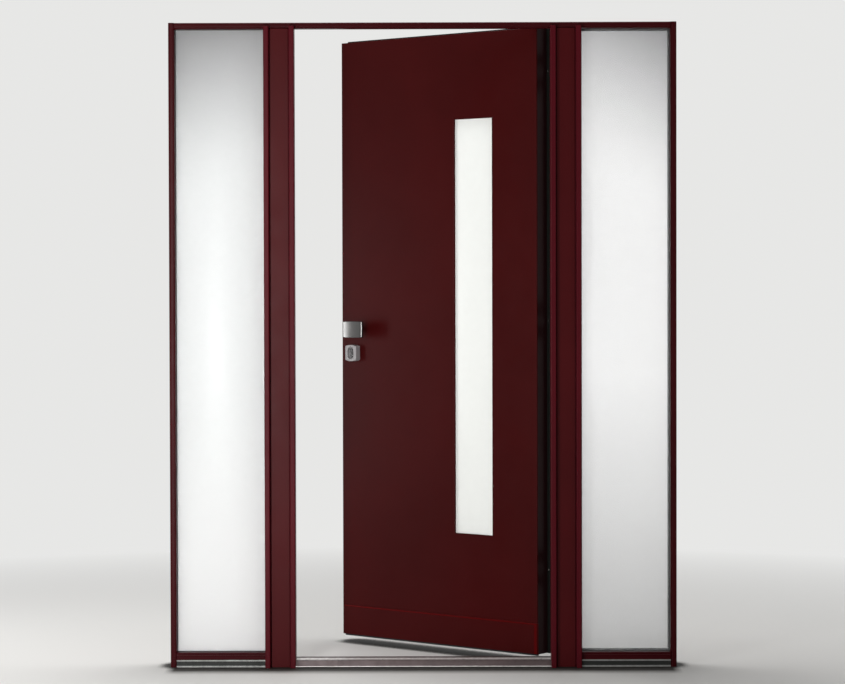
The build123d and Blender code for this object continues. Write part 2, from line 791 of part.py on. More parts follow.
def make_frame_hinge(height):
    """Frame half of a hinge: plate on the post's back, two knuckles and the pin."""
    low = height - HINGE_TALL / 2
    third = HINGE_TALL / 3
    web_left = pin_x - HINGE_WEB / 2
    plate = rectangle(
        web_left, web_left + FRAME_PLATE_WIDTH, FRAME_DEPTH, FRAME_DEPTH + HINGE_PLATE_THICK)
    half = upright(plate, low, low + HINGE_TALL)
    web = rectangle(web_left, web_left + HINGE_WEB, FRAME_DEPTH, pin_y)
    for start in (low, low + 2 * third):
        half += upright(web, start, start + third) + knuckle(KNUCKLE_RADIUS, start, start + third)
    return half + knuckle(PIN_RADIUS, low, low + HINGE_TALL)


def make_leaf_hinge(height):
    """Leaf half of a hinge: plate on the lip, an arm and the bored middle knuckle."""
    low = height - HINGE_TALL / 2
    third = HINGE_TALL / 3
    plate = rectangle(
        lip_hinge_edge - LEAF_PLATE_WIDTH, lip_hinge_edge, lip_back, lip_back + HINGE_PLATE_THICK)
    arm = polygon([
        (lip_hinge_edge - ARM_FOOT, lip_back),
        (lip_hinge_edge, lip_back),
        (pin_x + KNUCKLE_RADIUS / 2, pin_y - KNUCKLE_RADIUS / 2),
        (pin_x - KNUCKLE_RADIUS / 2, pin_y + KNUCKLE_RADIUS / 2),
    ])
    start = low + third + KNUCKLE_GAP
    end = low + 2 * third - KNUCKLE_GAP
    half = upright(plate, low, low + HINGE_TALL) + upright(arm, start, end)
    half += knuckle(KNUCKLE_RADIUS, start, end)
    return half - knuckle(PIN_RADIUS + PIN_CLEARANCE, start, end)


def frame_pieces():
    """Every fixed piece by its node name."""
    pieces = {
        "left_jamb": make_jamb(),
        "head_rail": make_head(),
        "lock_post": make_post("lock", rebate_lock) - strike_blank(),
        "hinge_post": make_post("hinge", rebate_hinge),
        "hinge_post_cover": make_post_cover(),
        "threshold": make_threshold(),
        "strike_plate": make_strike(),
        "left_sill": make_sill(),
        "left_bottom_rail": make_bottom_rail(),
        "left_side_glass": make_side_glass(),
        "left_glass_seal": make_side_seal(),
        "left_glazing_bead": make_side_bead(),
    }
    pieces["lock_post_cover"] = mirrored(pieces["hinge_post_cover"])
    for name in list(pieces):
        if name.startswith("left_"):
            pieces[name.replace("left_", "right_")] = mirrored(pieces[name])
    for place, height in hinge_heights.items():
        pieces[f"{place}_hinge_frame_half"] = make_frame_hinge(height)
    return pieces


def leaf_pieces():
    """Every piece that swings, by its node name, drawn shut."""
    pieces = {
        "leaf_shell": make_shell(),
        "outer_panel": make_outer_panel(),
        "inner_panel": make_inner_panel(),
        "kick_plate": make_kick_plate(),
        "door_glass": make_slot_pane(),
        "outer_glass_trim": make_outer_trim(),
        "inner_glass_trim": make_inner_trim(),
        "lip_seal": make_lip_seal(),
        "bottom_sweep": make_sweep(),
        "pull_plate": make_pull_plate(),
        "pull_neck": make_pull_neck(),
        "lock_guard": make_lock_guard(),
        "lock_cylinder": make_lock_cylinder(),
        "lock_faceplate": make_faceplate(),
        "lock_bolts": make_bolts(),
        "inside_lever": make_inside_lever(),
        "inside_knob": make_inside_knob(),
    }
    for place, height in hinge_heights.items():
        pieces[f"{place}_hinge_leaf_half"] = make_leaf_hinge(height)
    return pieces


# Write the pieces, with the leaf swung to rest and the origin under the threshold
os.makedirs("parts", exist_ok=True)
to_origin = Pos(0, -FRAME_DEPTH / 2, 0)
swing = Pos(pin_x, pin_y, 0) * Rot(0, 0, -REST_ANGLE) * Pos(-pin_x, -pin_y, 0)
for node, piece in frame_pieces().items():
    export_step(to_origin * piece, f"parts/{node}.step")
for node, piece in leaf_pieces().items():
    export_step(to_origin * swing * piece, f"parts/{node}.step")
print(f"hinge pin at {pin_x:.1f}, {pin_y - FRAME_DEPTH / 2:.1f}")
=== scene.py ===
"""Looks of a steel security door standing between two frosted sidelights.

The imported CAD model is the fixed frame. Its nodes keep their shapes and get their finishes
here, and the small fittings, gaskets, sealed units and the grip plate are built round them.
Lengths are metres: X to the right as seen from outside, Y into the building, Z up. Pieces of
the leaf are modelled with the door shut and then swung to the rest angle about the hinge pin.
"""

import json
import logging
import math
from collections.abc import Sequence
from dataclasses import dataclass
from enum import Enum

import bmesh
import bpy
from mathutils import Matrix, Vector

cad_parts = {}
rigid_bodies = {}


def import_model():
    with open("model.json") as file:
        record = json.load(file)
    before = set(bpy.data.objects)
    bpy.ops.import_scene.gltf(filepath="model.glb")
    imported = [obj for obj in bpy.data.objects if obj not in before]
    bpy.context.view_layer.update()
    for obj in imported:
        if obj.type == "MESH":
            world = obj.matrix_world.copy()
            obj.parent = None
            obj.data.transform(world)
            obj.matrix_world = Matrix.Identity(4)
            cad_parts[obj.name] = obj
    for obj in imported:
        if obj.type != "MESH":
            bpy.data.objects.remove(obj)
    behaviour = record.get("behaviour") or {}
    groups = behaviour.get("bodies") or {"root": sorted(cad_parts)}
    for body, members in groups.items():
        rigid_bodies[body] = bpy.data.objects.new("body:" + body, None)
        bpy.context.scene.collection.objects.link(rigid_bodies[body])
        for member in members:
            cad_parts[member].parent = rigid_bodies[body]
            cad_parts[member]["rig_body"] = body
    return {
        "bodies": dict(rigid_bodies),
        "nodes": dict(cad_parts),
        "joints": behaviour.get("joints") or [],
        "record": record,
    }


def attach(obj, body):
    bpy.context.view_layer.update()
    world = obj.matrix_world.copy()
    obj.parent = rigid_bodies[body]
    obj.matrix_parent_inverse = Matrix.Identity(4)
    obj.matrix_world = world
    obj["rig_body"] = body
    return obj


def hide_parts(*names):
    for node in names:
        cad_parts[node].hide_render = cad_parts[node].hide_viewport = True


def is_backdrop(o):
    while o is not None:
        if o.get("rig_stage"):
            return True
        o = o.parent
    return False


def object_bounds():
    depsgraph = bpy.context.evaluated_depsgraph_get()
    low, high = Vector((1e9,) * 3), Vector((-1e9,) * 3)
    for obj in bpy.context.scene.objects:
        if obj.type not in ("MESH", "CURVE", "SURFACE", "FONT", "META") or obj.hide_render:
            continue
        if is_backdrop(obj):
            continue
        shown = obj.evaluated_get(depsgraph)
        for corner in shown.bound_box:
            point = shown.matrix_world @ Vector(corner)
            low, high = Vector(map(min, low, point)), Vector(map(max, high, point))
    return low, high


Triple = tuple[float, float, float]
Colour = Triple
Point = tuple[float, float]

PHOTO_WIDTH = 845

log = logging.getLogger("security_door")


class Body(Enum):
    """The two bodies of the door set."""

    FRAME = "frame"
    LEAF = "leaf"


class Slot(Enum):
    """Material slots of the record, one named for each added piece."""

    FRAME_PAINT = "frame_paint"
    LEAF_PAINT = "leaf_paint"
    DARK_STEEL = "dark_steel"
    SATIN_STEEL = "satin_steel"
    SILL_METAL = "sill_metal"
    FROSTED_GLASS = "frosted_glass"
    SEAL_RUBBER = "seal_rubber"
    GREY_RUBBER = "grey_rubber"


class Side(Enum):
    """Left and right of the set as seen from outside, with the sign of X there."""

    LEFT = -1
    RIGHT = 1

    @property
    def word(self) -> str:
        """The side's name as the CAD nodes spell it."""
        return self.name.lower()


class Looking(Enum):
    """Directions in which a turned fitting faces."""

    OUTSIDE = (0.0, -1.0, 0.0)
    INSIDE = (0.0, 1.0, 0.0)
    LEFT = (-1.0, 0.0, 0.0)
    RIGHT = (1.0, 0.0, 0.0)
    UP = (0.0, 0.0, 1.0)
    DOWN = (0.0, 0.0, -1.0)

    @property
    def vector(self) -> Vector:
        """The direction as a vector."""
        return Vector(self.value)

    @property
    def stand(self) -> Matrix:
        """The turn that points a fitting's own Z this way.

        Returns:
            The turn. A fitting that faces out or in keeps its own Y upright.
        """
        if self in (Looking.OUTSIDE, Looking.INSIDE):
            return Matrix(((1.0, 0.0, 0.0), (0.0, 0.0, self.vector.y), (0.0, 1.0, 0.0)))
        return self.vector.to_track_quat("Z", "Y").to_matrix()


class Form(Enum):
    """Outline of one ring of a turned fitting."""

    ROUND = "round"
    HEXAGON = "hexagon"
    SLOT = "slot"
    KNURLED = "knurled"


# Mesh making


KNURL_DEPTH = 0.025
KNURL_COUNT = 40
WELD = 1e-6
OUTLINE_STEP = 0.004


@dataclass(frozen=True)
class Ring:
    """One ring of a turned fitting.

    Attributes:
        radius: half the width across the ring, or across a hexagon's flats.
        height: distance along the fitting's axis, outwards.
        form: outline of the ring.
        breadth: half the short side of a slot.
    """

    radius: float
    height: float
    form: Form = Form.ROUND
    breadth: float = 0.0

    def reach(self, angle: float) -> float:
        """Distance of the outline from the axis at an angle.

        Args:
            angle: direction round the axis, in radians.

        Returns:
            The distance in metres.
        """
        if self.form is Form.HEXAGON:
            return self.radius / math.cos(angle % (math.pi / 3) - math.pi / 6)
        if self.form is Form.SLOT:
            across = self.breadth / max(abs(math.cos(angle)), WELD)
            along = self.radius / max(abs(math.sin(angle)), WELD)
            return min(across, along)
        if self.form is Form.KNURLED:
            return self.radius * (1 + KNURL_DEPTH * math.cos(angle * KNURL_COUNT))
        return self.radius


@dataclass(frozen=True)
class Block:
    """A box given by its six sides.

    Attributes:
        left: its lowest X.
        right: its highest X.
        front: its lowest Y.
        back: its highest Y.
        low: its lowest Z.
        high: its highest Z.
    """

    left: float
    right: float
    front: float
    back: float
    low: float
    high: float

    @property
    def middle(self) -> Vector:
        """The middle of the box.

        Returns:
            The point halfway between all its sides.
        """
        return Vector((
            (self.left + self.right) / 2,
            (self.front + self.back) / 2,
            (self.low + self.high) / 2,
        ))

    def trimmed(self, sides: float, low: float, high: float) -> "Block":
        """The box with its outline drawn in, as seen from the front.

        Args:
            sides: how far the left and right sides move in.
            low: how far the bottom moves up.
            high: how far the top moves down.

        Returns:
            The smaller box.
        """
        return Block(
            self.left + sides,
            self.right - sides,
            self.front,
            self.back,
            self.low + low,
            self.high - high,
        )

    def between(self, front: float, back: float) -> "Block":
        """The same outline between two other depths.

        Args:
            front: the new front.
            back: the new back.

        Returns:
            The moved box.
        """
        return Block(self.left, self.right, front, back, self.low, self.high)


class Mesher:
    """Collects the surfaces of one piece and hands them over as an object."""

    def __init__(self) -> None:
        """Starts an empty mesh."""
        self.mesh = bmesh.new()

    def loft(
        self,
        rings: Sequence[Sequence[Vector]],
        closed: bool = False,
        caps: bool = True,
        open_rings: bool = False,
    ) -> None:
        """Skins a row of rings that all have the same number of points.

        Args:
            rings: the rings in order.
            closed: True joins the last ring to the first.
            caps: True fills the first and the last ring.
            open_rings: True leaves the gap between a ring's last and first point.
        """
        rows = [[self.mesh.verts.new(point) for point in ring] for ring in rings]
        count = len(rows[0])
        pairs = list(zip(rows, rows[1:]))
        if closed:
            pairs.append((rows[-1], rows[0]))
        for first, second in pairs:
            for i in range(count - 1 if open_rings else count):
                j = (i + 1) % count
                self.mesh.faces.new((first[i], first[j], second[j], second[i]))
        if caps and not closed:
            self.mesh.faces.new(list(reversed(rows[0])))
            self.mesh.faces.new(rows[-1])

    def block(self, block: Block, softened: float = 0.0, steps: int = 2) -> None:
        """Adds a box with softened edges.

        Args:
            block: the box.
            softened: width of the rounded edges.
            steps: how many facets each rounded edge has.
        """
        before = set(self.mesh.edges)
        outline = [
            (block.left, block.low),
            (block.right, block.low),
            (block.right, block.high),
            (block.left, block.high),
        ]
        front = [Vector((x, block.front, z)) for x, z in outline]
        back = [Vector((x, block.back, z)) for x, z in outline]
        self.loft([front, back])
        if softened > 0:
            edges = [edge for edge in self.mesh.edges if edge not in before]
            bmesh.ops.bevel(
                self.mesh,
                geom=edges,
                offset=softened,
                segments=steps,
                profile=0.5,
                affect="EDGES",
                clamp_overlap=True,
            )

    def prism(self, outline: Sequence[Vector], travel: Vector) -> None:
        """Adds a straight length of a section.

        Args:
            outline: the section's points at one end.
            travel: from that end to the other.
        """
        self.loft([list(outline), [point + travel for point in outline]])

    def turned(
        self, rings: Sequence[Ring], centre: Vector, looking: Looking, steps: int = 24
    ) -> None:
        """Adds a turned fitting.

        Args:
            rings: its rings from the back to the front face's middle.
            centre: where its axis crosses height 0.
            looking: the direction in which its heights grow.
            steps: points in each ring.
        """
        stand = looking.stand
        rows = []
        for ring in rings:
            row = []
            for i in range(steps):
                angle = math.tau * i / steps
                reach = ring.reach(angle)
                flat = Vector((reach * math.cos(angle), reach * math.sin(angle), ring.height))
                row.append(centre + stand @ flat)
            rows.append(row)
        self.loft(rows)

    def rim(
        self,
        outer: Block,
        inner: Block,
        section: Sequence[Point],
        open_foot: bool = False,
    ) -> None:
        """Adds a mitred rim between two rectangles, as a gasket or a spacer bar has.

        Args:
            outer: outline that share 1 of the section lies on.
            inner: outline that share 0 of the section lies on.
            section: pairs of share, from inner to outer outline, and depth.
            open_foot: True leaves out the bottom side and ends both uprights there.
        """
        rows = []
        corners = ((0, 0), (0, 1), (1, 1), (1, 0))
        for right, top in corners:
            row = []
            for share, depth in section:
                left = inner.left + (outer.left - inner.left) * share
                far = inner.right + (outer.right - inner.right) * share
                low = inner.low + (outer.low - inner.low) * share
                high = inner.high + (outer.high - inner.high) * share
                foot = outer.low if open_foot else low
                row.append(Vector((far if right else left, depth, high if top else foot)))
            rows.append(row)
        self.loft(rows, closed=not open_foot, caps=open_foot)

    def piece(self, name: str, crease: float = 32.0) -> bpy.types.Object:
        """Ends the mesh and makes the object.

        Args:
            name: the piece's name.
            crease: edges that bend more than this many degrees stay sharp.

        Returns:
            The object, linked to the scene.
        """
        bmesh.ops.remove_doubles(self.mesh, verts=self.mesh.verts, dist=WELD)
        bmesh.ops.recalc_face_normals(self.mesh, faces=self.mesh.faces)
        data = bpy.data.meshes.new(name)
        self.mesh.to_mesh(data)
        self.mesh.free()
        data.shade_smooth()
        data.set_sharp_from_angle(angle=math.radians(crease))
        made = bpy.data.objects.new(name, data)
        bpy.context.scene.collection.objects.link(made)
        return made


def arched_outline(
    half_width: float, half_tall: float, corner: float, arch: float, bulge: float, steps: int = 9
) -> list[Point]:
    """Outline of a plate with slightly convex sides and rounded corners.

    Args:
        half_width: half of its whole width.
        half_tall: half of its whole height.
        corner: radius of its corners.
        arch: how much the top and the bottom stand out in the middle.
        bulge: how much the two ends stand out in the middle.
        steps: points on each corner.

    Returns:
        The points as pairs of X and Z about the plate's middle.
    """
    wide = half_width - bulge - corner
    tall = half_tall - arch - corner
    points: list[Point] = []
    for turn, (across, up) in enumerate(((1, 1), (-1, 1), (-1, -1), (1, -1))):
        for i in range(steps):
            angle = math.pi / 2 * (turn + i / (steps - 1))
            x = across * wide + corner * math.cos(angle)
            z = up * tall + corner * math.sin(angle)
            points.append((x, z))
    filled: list[Point] = []
    for (x, z), (next_x, next_z) in zip(points, points[1:] + points[:1]):
        span = math.hypot(next_x - x, next_z - z)
        cuts = max(1, round(span / OUTLINE_STEP))
        for i in range(cuts):
            share = i / cuts
            filled.append((x + (next_x - x) * share, z + (next_z - z) * share))
    shaped: list[Point] = []
    for x, z in filled:
        rise = arch * (1 - (x / half_width) ** 2) * min(1.0, abs(z) / tall)
        swell = bulge * (1 - (z / half_tall) ** 2) * min(1.0, abs(x) / wide)
        shaped.append((x + math.copysign(swell, x), z + math.copysign(rise, z)))
    return shaped


# Finishes


EDGE_TURNED = 0.80
EDGE_FLAT = 0.985


def scaled(colour: Colour, factor: float) -> Colour:
    """A colour made lighter or darker.

    Args:
        colour: the colour.
        factor: what its parts are multiplied by, as far as full white.

    Returns:
        The new colour.
    """
    red, green, blue = (min(1.0, part * factor) for part in colour)
    return red, green, blue


class Recipe:
    """Node tree of one finish, written a step at a time."""

    def __init__(self, name: str) -> None:
        """Starts a material.

        Args:
            name: the material's name.
        """
        self.material = bpy.data.materials.new(name)
        self.material.use_nodes = True
        self.tree = self.material.node_tree
        self.shader = self.tree.nodes["Principled BSDF"]

    def node(self, kind: str, **settings: object) -> bpy.types.Node:
        """Adds a node.

        Args:
            kind: the node's type.
            settings: attributes that are set on it.

        Returns:
            The node.
        """
        made = self.tree.nodes.new(kind)
        for key, value in settings.items():
            setattr(made, key, value)
        return made

    def wire(self, source: bpy.types.NodeSocket, target: bpy.types.NodeSocket) -> None:
        """Links an output to an input."""
        self.tree.links.new(source, target)

    def feed(self, name: str, source: bpy.types.NodeSocket) -> None:
        """Links an output to one of the shader's named inputs."""
        self.wire(source, self.shader.inputs[name])

    def constant(self, **values: float | Colour) -> None:
        """Sets sockets of the shader that are the same all over.

        Args:
            values: socket names with underscores for spaces, and their values.
        """
        for key, value in values.items():
            socket = self.shader.inputs[key.replace("_", " ")]
            socket.default_value = (*value, 1.0) if isinstance(value, tuple) else value

    def place(self, stretch: Triple = (1.0, 1.0, 1.0), turn: float = 0.0) -> bpy.types.NodeSocket:
        """Object coordinates in metres, turned with the leaf and stretched.

        Args:
            stretch: factor along each axis.
            turn: angle in radians by which the piece stands turned about Z.

        Returns:
            The vector socket.
        """
        coordinates = self.node("ShaderNodeTexCoord").outputs["Object"]
        turned = self.node("ShaderNodeMapping")
        turned.inputs["Rotation"].default_value = (0.0, 0.0, -turn)
        self.wire(coordinates, turned.inputs["Vector"])
        stretched = self.node("ShaderNodeMapping")
        stretched.inputs["Scale"].default_value = stretch
        self.wire(turned.outputs["Vector"], stretched.inputs["Vector"])
        return stretched.outputs["Vector"]

    def axes(self, vector: bpy.types.NodeSocket) -> bpy.types.NodeOutputs:
        """Splits a place into its three coordinates.

        Args:
            vector: the place.

        Returns:
            The sockets, by the names X, Y and Z.
        """
        parts = self.node("ShaderNodeSeparateXYZ")
        self.wire(vector, parts.inputs["Vector"])
        return parts.outputs

    def noise(
        self, vector: bpy.types.NodeSocket, scale: float, detail: float = 2.0
    ) -> bpy.types.NodeSocket:
        """Noise between 0 and 1.

        Args:
            vector: where it is read.
            scale: features per metre.
            detail: finer layers added to it.

        Returns:
            The factor socket.
        """
        made = self.node("ShaderNodeTexNoise")
        made.inputs["Scale"].default_value = scale
        made.inputs["Detail"].default_value = detail
        self.wire(vector, made.inputs["Vector"])
        return made.outputs["Fac"]

    def spread(
        self,
        source: bpy.types.NodeSocket,
        from_low: float,
        from_high: float,
        to_low: float = 0.0,
        to_high: float = 1.0,
    ) -> bpy.types.NodeSocket:
        """Maps a factor from one range to another, without leaving it.

        Args:
            source: the factor.
            from_low: value that becomes to_low.
            from_high: value that becomes to_high.
            to_low: result at from_low.
            to_high: result at from_high.

        Returns:
            The result socket.
        """
        made = self.node("ShaderNodeMapRange")
        made.inputs["From Min"].default_value = from_low
        made.inputs["From Max"].default_value = from_high
        made.inputs["To Min"].default_value = to_low
        made.inputs["To Max"].default_value = to_high
        self.wire(source, made.inputs["Value"])
        return made.outputs["Result"]

    def reckon(
        self, kind: str, first: bpy.types.NodeSocket, second: bpy.types.NodeSocket | float
    ) -> bpy.types.NodeSocket:
        """Arithmetic on two factors.

        Args:
            kind: the operation, such as ADD or MULTIPLY.
            first: the first factor.
            second: the second factor or a number.

        Returns:
            The result socket.
        """
        made = self.node("ShaderNodeMath", operation=kind)
        self.wire(first, made.inputs[0])
        if isinstance(second, float):
            made.inputs[1].default_value = second
        else:
            self.wire(second, made.inputs[1])
        return made.outputs["Value"]

    def blend(
        self,
        factor: bpy.types.NodeSocket,
        first: bpy.types.NodeSocket | Colour,
        second: bpy.types.NodeSocket | Colour,
    ) -> bpy.types.NodeSocket:
        """Mixes two colours.

        Args:
            factor: 0 gives the first colour and 1 the second.
            first: a colour or a colour socket.
            second: a colour or a colour socket.

        Returns:
            The colour socket.
        """
        made = self.node("ShaderNodeMix", data_type="RGBA")
        self.wire(factor, made.inputs["Factor"])
        for socket, value in ((made.inputs[6], first), (made.inputs[7], second)):
            if isinstance(value, tuple):
                socket.default_value = (*value, 1.0)
            else:
                self.wire(value, socket)
        return made.outputs[2]

    def edges(self, radius: float) -> tuple[bpy.types.NodeSocket, bpy.types.NodeSocket]:
        """Rounded normal along edges, and a mask of where the edges are.

        Args:
            radius: width of the rounding.

        Returns:
            The normal socket and the mask socket.
        """
        rounded = self.node("ShaderNodeBevel", samples=4)
        rounded.inputs["Radius"].default_value = radius
        geometry = self.node("ShaderNodeNewGeometry")
        dot = self.node("ShaderNodeVectorMath", operation="DOT_PRODUCT")
        self.wire(rounded.outputs["Normal"], dot.inputs[0])
        self.wire(geometry.outputs["Normal"], dot.inputs[1])
        mask = self.spread(dot.outputs["Value"], EDGE_TURNED, EDGE_FLAT, 1.0, 0.0)
        return rounded.outputs["Normal"], mask

    def relief(
        self,
        height: bpy.types.NodeSocket,
        strength: float,
        depth: float,
        normal: bpy.types.NodeSocket | None = None,
    ) -> None:
        """Drives the shader's normal with a bump.

        Args:
            height: the height factor.
            strength: how much of the bump is used.
            depth: height of the bump in metres.
            normal: the normal under the bump.
        """
        made = self.node("ShaderNodeBump")
        made.inputs["Strength"].default_value = strength
        made.inputs["Distance"].default_value = depth
        self.wire(height, made.inputs["Height"])
        if normal is not None:
            self.wire(normal, made.inputs["Normal"])
        self.feed("Normal", made.outputs["Normal"])


@dataclass(frozen=True)
class Finish:
    """A finish with a name. Each kind below writes its own nodes.

    Attributes:
        name: the material's name.
        turn: the angle about Z by which the pieces that wear it stand turned.
    """

    name: str
    turn: float = 0.0

    def write(self, recipe: Recipe) -> None:
        """Writes the finish's nodes into a recipe."""
        raise NotImplementedError

    def make(self) -> bpy.types.Material:
        """Makes the finish's material, or finds it where it is made already.

        Returns:
            The material.
        """
        known = bpy.data.materials.get(self.name)
        if known is not None:
            return known
        recipe = Recipe(self.name)
        self.write(recipe)
        return recipe.material


@dataclass(frozen=True)
class PowderCoat(Finish):
    """Baked powder paint: fine orange peel, faint clouding, edges lighter from wear and painted
    highlight.

    Attributes:
        colour: the paint.
        rubbed: its colour along edges, from wear and a painted highlight.
        gloss: specular level.
        roughness: its middle roughness.
        peel: bumps of the orange peel per metre.
        peel_share: how much of the orange peel shows.
        peel_deep: height of the orange peel.
        cloud: faint clouds per metre.
        speck: fine specks per metre.
        touch: patches of handling per metre.
        edge: width of the rounding along edges.
    """

    colour: Colour = (0.045, 0.008, 0.009)
    rubbed: Colour = (0.090, 0.020, 0.022)
    gloss: float = 0.06
    roughness: float = 0.33
    peel: float = 520.0
    peel_share: float = 0.16
    peel_deep: float = 0.00025
    cloud: float = 2.6
    speck: float = 900.0
    touch: float = 14.0
    edge: float = 0.0009

    def tone(
        self, recipe: Recipe, place: bpy.types.NodeSocket, even: bpy.types.NodeSocket
    ) -> bpy.types.NodeSocket:
        """Last change to the paint's colour before its lighter edges; none here.

        Args:
            recipe: the recipe that is written.
            place: where the paint is read.
            even: the paint's colour so far.

        Returns:
            The colour socket.
        """
        return even

    def write(self, recipe: Recipe) -> None:
        """Writes the paint's nodes.

        Args:
            recipe: the recipe that they go into.
        """
        place = recipe.place(turn=self.turn)
        normal, mask = recipe.edges(self.edge)
        clouds = recipe.noise(place, self.cloud, 3.0)
        specks = recipe.noise(place, self.speck, 1.0)
        light = scaled(self.colour, 1.10)
        dark = scaled(self.colour, 0.92)
        fleck = scaled(self.colour, 1.22)
        base = recipe.blend(recipe.spread(clouds, 0.35, 0.65), dark, light)
        flecked = recipe.blend(recipe.spread(specks, 0.62, 0.75, 0.0, 0.6), base, fleck)
        toned = self.tone(recipe, place, flecked)
        # Lighter edges: partly wear, partly a painted highlight.
        wear_and_highlight_mask = recipe.reckon("MULTIPLY", mask, recipe.spread(clouds, 0.3, 0.6, 0.25, 0.85))
        recipe.feed("Base Color", recipe.blend(wear_and_highlight_mask, toned, self.rubbed))
        touched = recipe.noise(place, self.touch, 3.0)
        rough = recipe.spread(touched, 0.3, 0.7, self.roughness - 0.03, self.roughness + 0.04)
        recipe.feed("Roughness", rough)
        fine = recipe.reckon("MULTIPLY", specks, 0.35)
        peel = recipe.reckon("ADD", recipe.noise(place, self.peel, 2.0), fine)
        recipe.relief(peel, self.peel_share, self.peel_deep, normal)
        recipe.constant(Specular_IOR_Level=self.gloss)


@dataclass(frozen=True)
class KickPaint(PowderCoat):
    """The leaf's paint, with a painted highlight of brighter red along the kick plate's fold and
    top.

    Attributes:
        bright: the brighter red of the painted highlight.
        fold_from: place along the leaf from which the fold's painted highlight begins.
        fold_soft: width over which that highlight comes in.
        top_from: height from which the top edge's painted highlight begins.
        top_soft: height over which that highlight comes in.
    """

    bright: Colour = (0.080, 0.0012, 0.0014)
    fold_from: float = 9.0
    fold_soft: float = 0.004
    top_from: float = 9.0
    top_soft: float = 0.0005

    def tone(
        self, recipe: Recipe, place: bpy.types.NodeSocket, even: bpy.types.NodeSocket
    ) -> bpy.types.NodeSocket:
        """Paints the highlight's brighter red along the fold and the top edge.

        Args:
            recipe: the recipe that is written.
            place: where the paint is read.
            even: the paint's colour so far.

        Returns:
            The colour socket.
        """
        axes = recipe.axes(place)
        # Painted highlight along the kick plate's fold and top edge.
        fold = recipe.spread(axes["X"], self.fold_from, self.fold_from + self.fold_soft)
        top = recipe.spread(axes["Z"], self.top_from, self.top_from + self.top_soft)
        return recipe.blend(recipe.reckon("MAXIMUM", fold, top), even, self.bright)


@dataclass(frozen=True)
class SatinMetal(Finish):
    """Ground stainless steel, its fine lines running along one direction.

    Attributes:
        colour: the steel.
        along: ground lines per metre along each axis, fewest along the grinding.
        roughness: its middle roughness.
        grain: how much of the lines' relief shows.
        metallic: share of metal in the shader.
        uneven: how far the roughness goes up and down.
        contrast: how much lighter and darker than the colour the lines are.
        edge: width of the rounding along edges.
        edge_colour: lighter steel along edges, from wear and a painted highlight.
    """

    colour: Colour = (0.56, 0.55, 0.53)
    along: Triple = (14.0, 700.0, 700.0)
    roughness: float = 0.30
    grain: float = 0.35
    metallic: float = 1.0
    uneven: float = 0.065
    contrast: float = 0.16
    edge: float = 0.0006
    edge_colour: Colour = (0.78, 0.77, 0.75)

    def write(self, recipe: Recipe) -> None:
        """Writes the steel's nodes.

        Args:
            recipe: the recipe that they go into.
        """
        lines = recipe.noise(recipe.place(self.along, self.turn), 1.0, 4.0)
        place = recipe.place(turn=self.turn)
        smudges = recipe.noise(place, 34.0, 3.0)
        normal, mask = recipe.edges(self.edge)
        dark = scaled(self.colour, 1 - self.contrast)
        bright = scaled(self.colour, 1 + self.contrast)
        ground = recipe.blend(recipe.spread(lines, 0.3, 0.7), dark, bright)
        # Lighter edges: partly wear, partly a painted highlight.
        wear_and_highlight_mask = recipe.reckon("MULTIPLY", mask, 0.6)
        recipe.feed("Base Color", recipe.blend(wear_and_highlight_mask, ground, self.edge_colour))
        rough = recipe.spread(
            smudges, 0.3, 0.7, self.roughness - self.uneven, self.roughness + self.uneven)
        recipe.feed("Roughness", rough)
        recipe.relief(lines, self.grain, 0.00008, normal)
        recipe.constant(Metallic=self.metallic, Anisotropic=0.35)


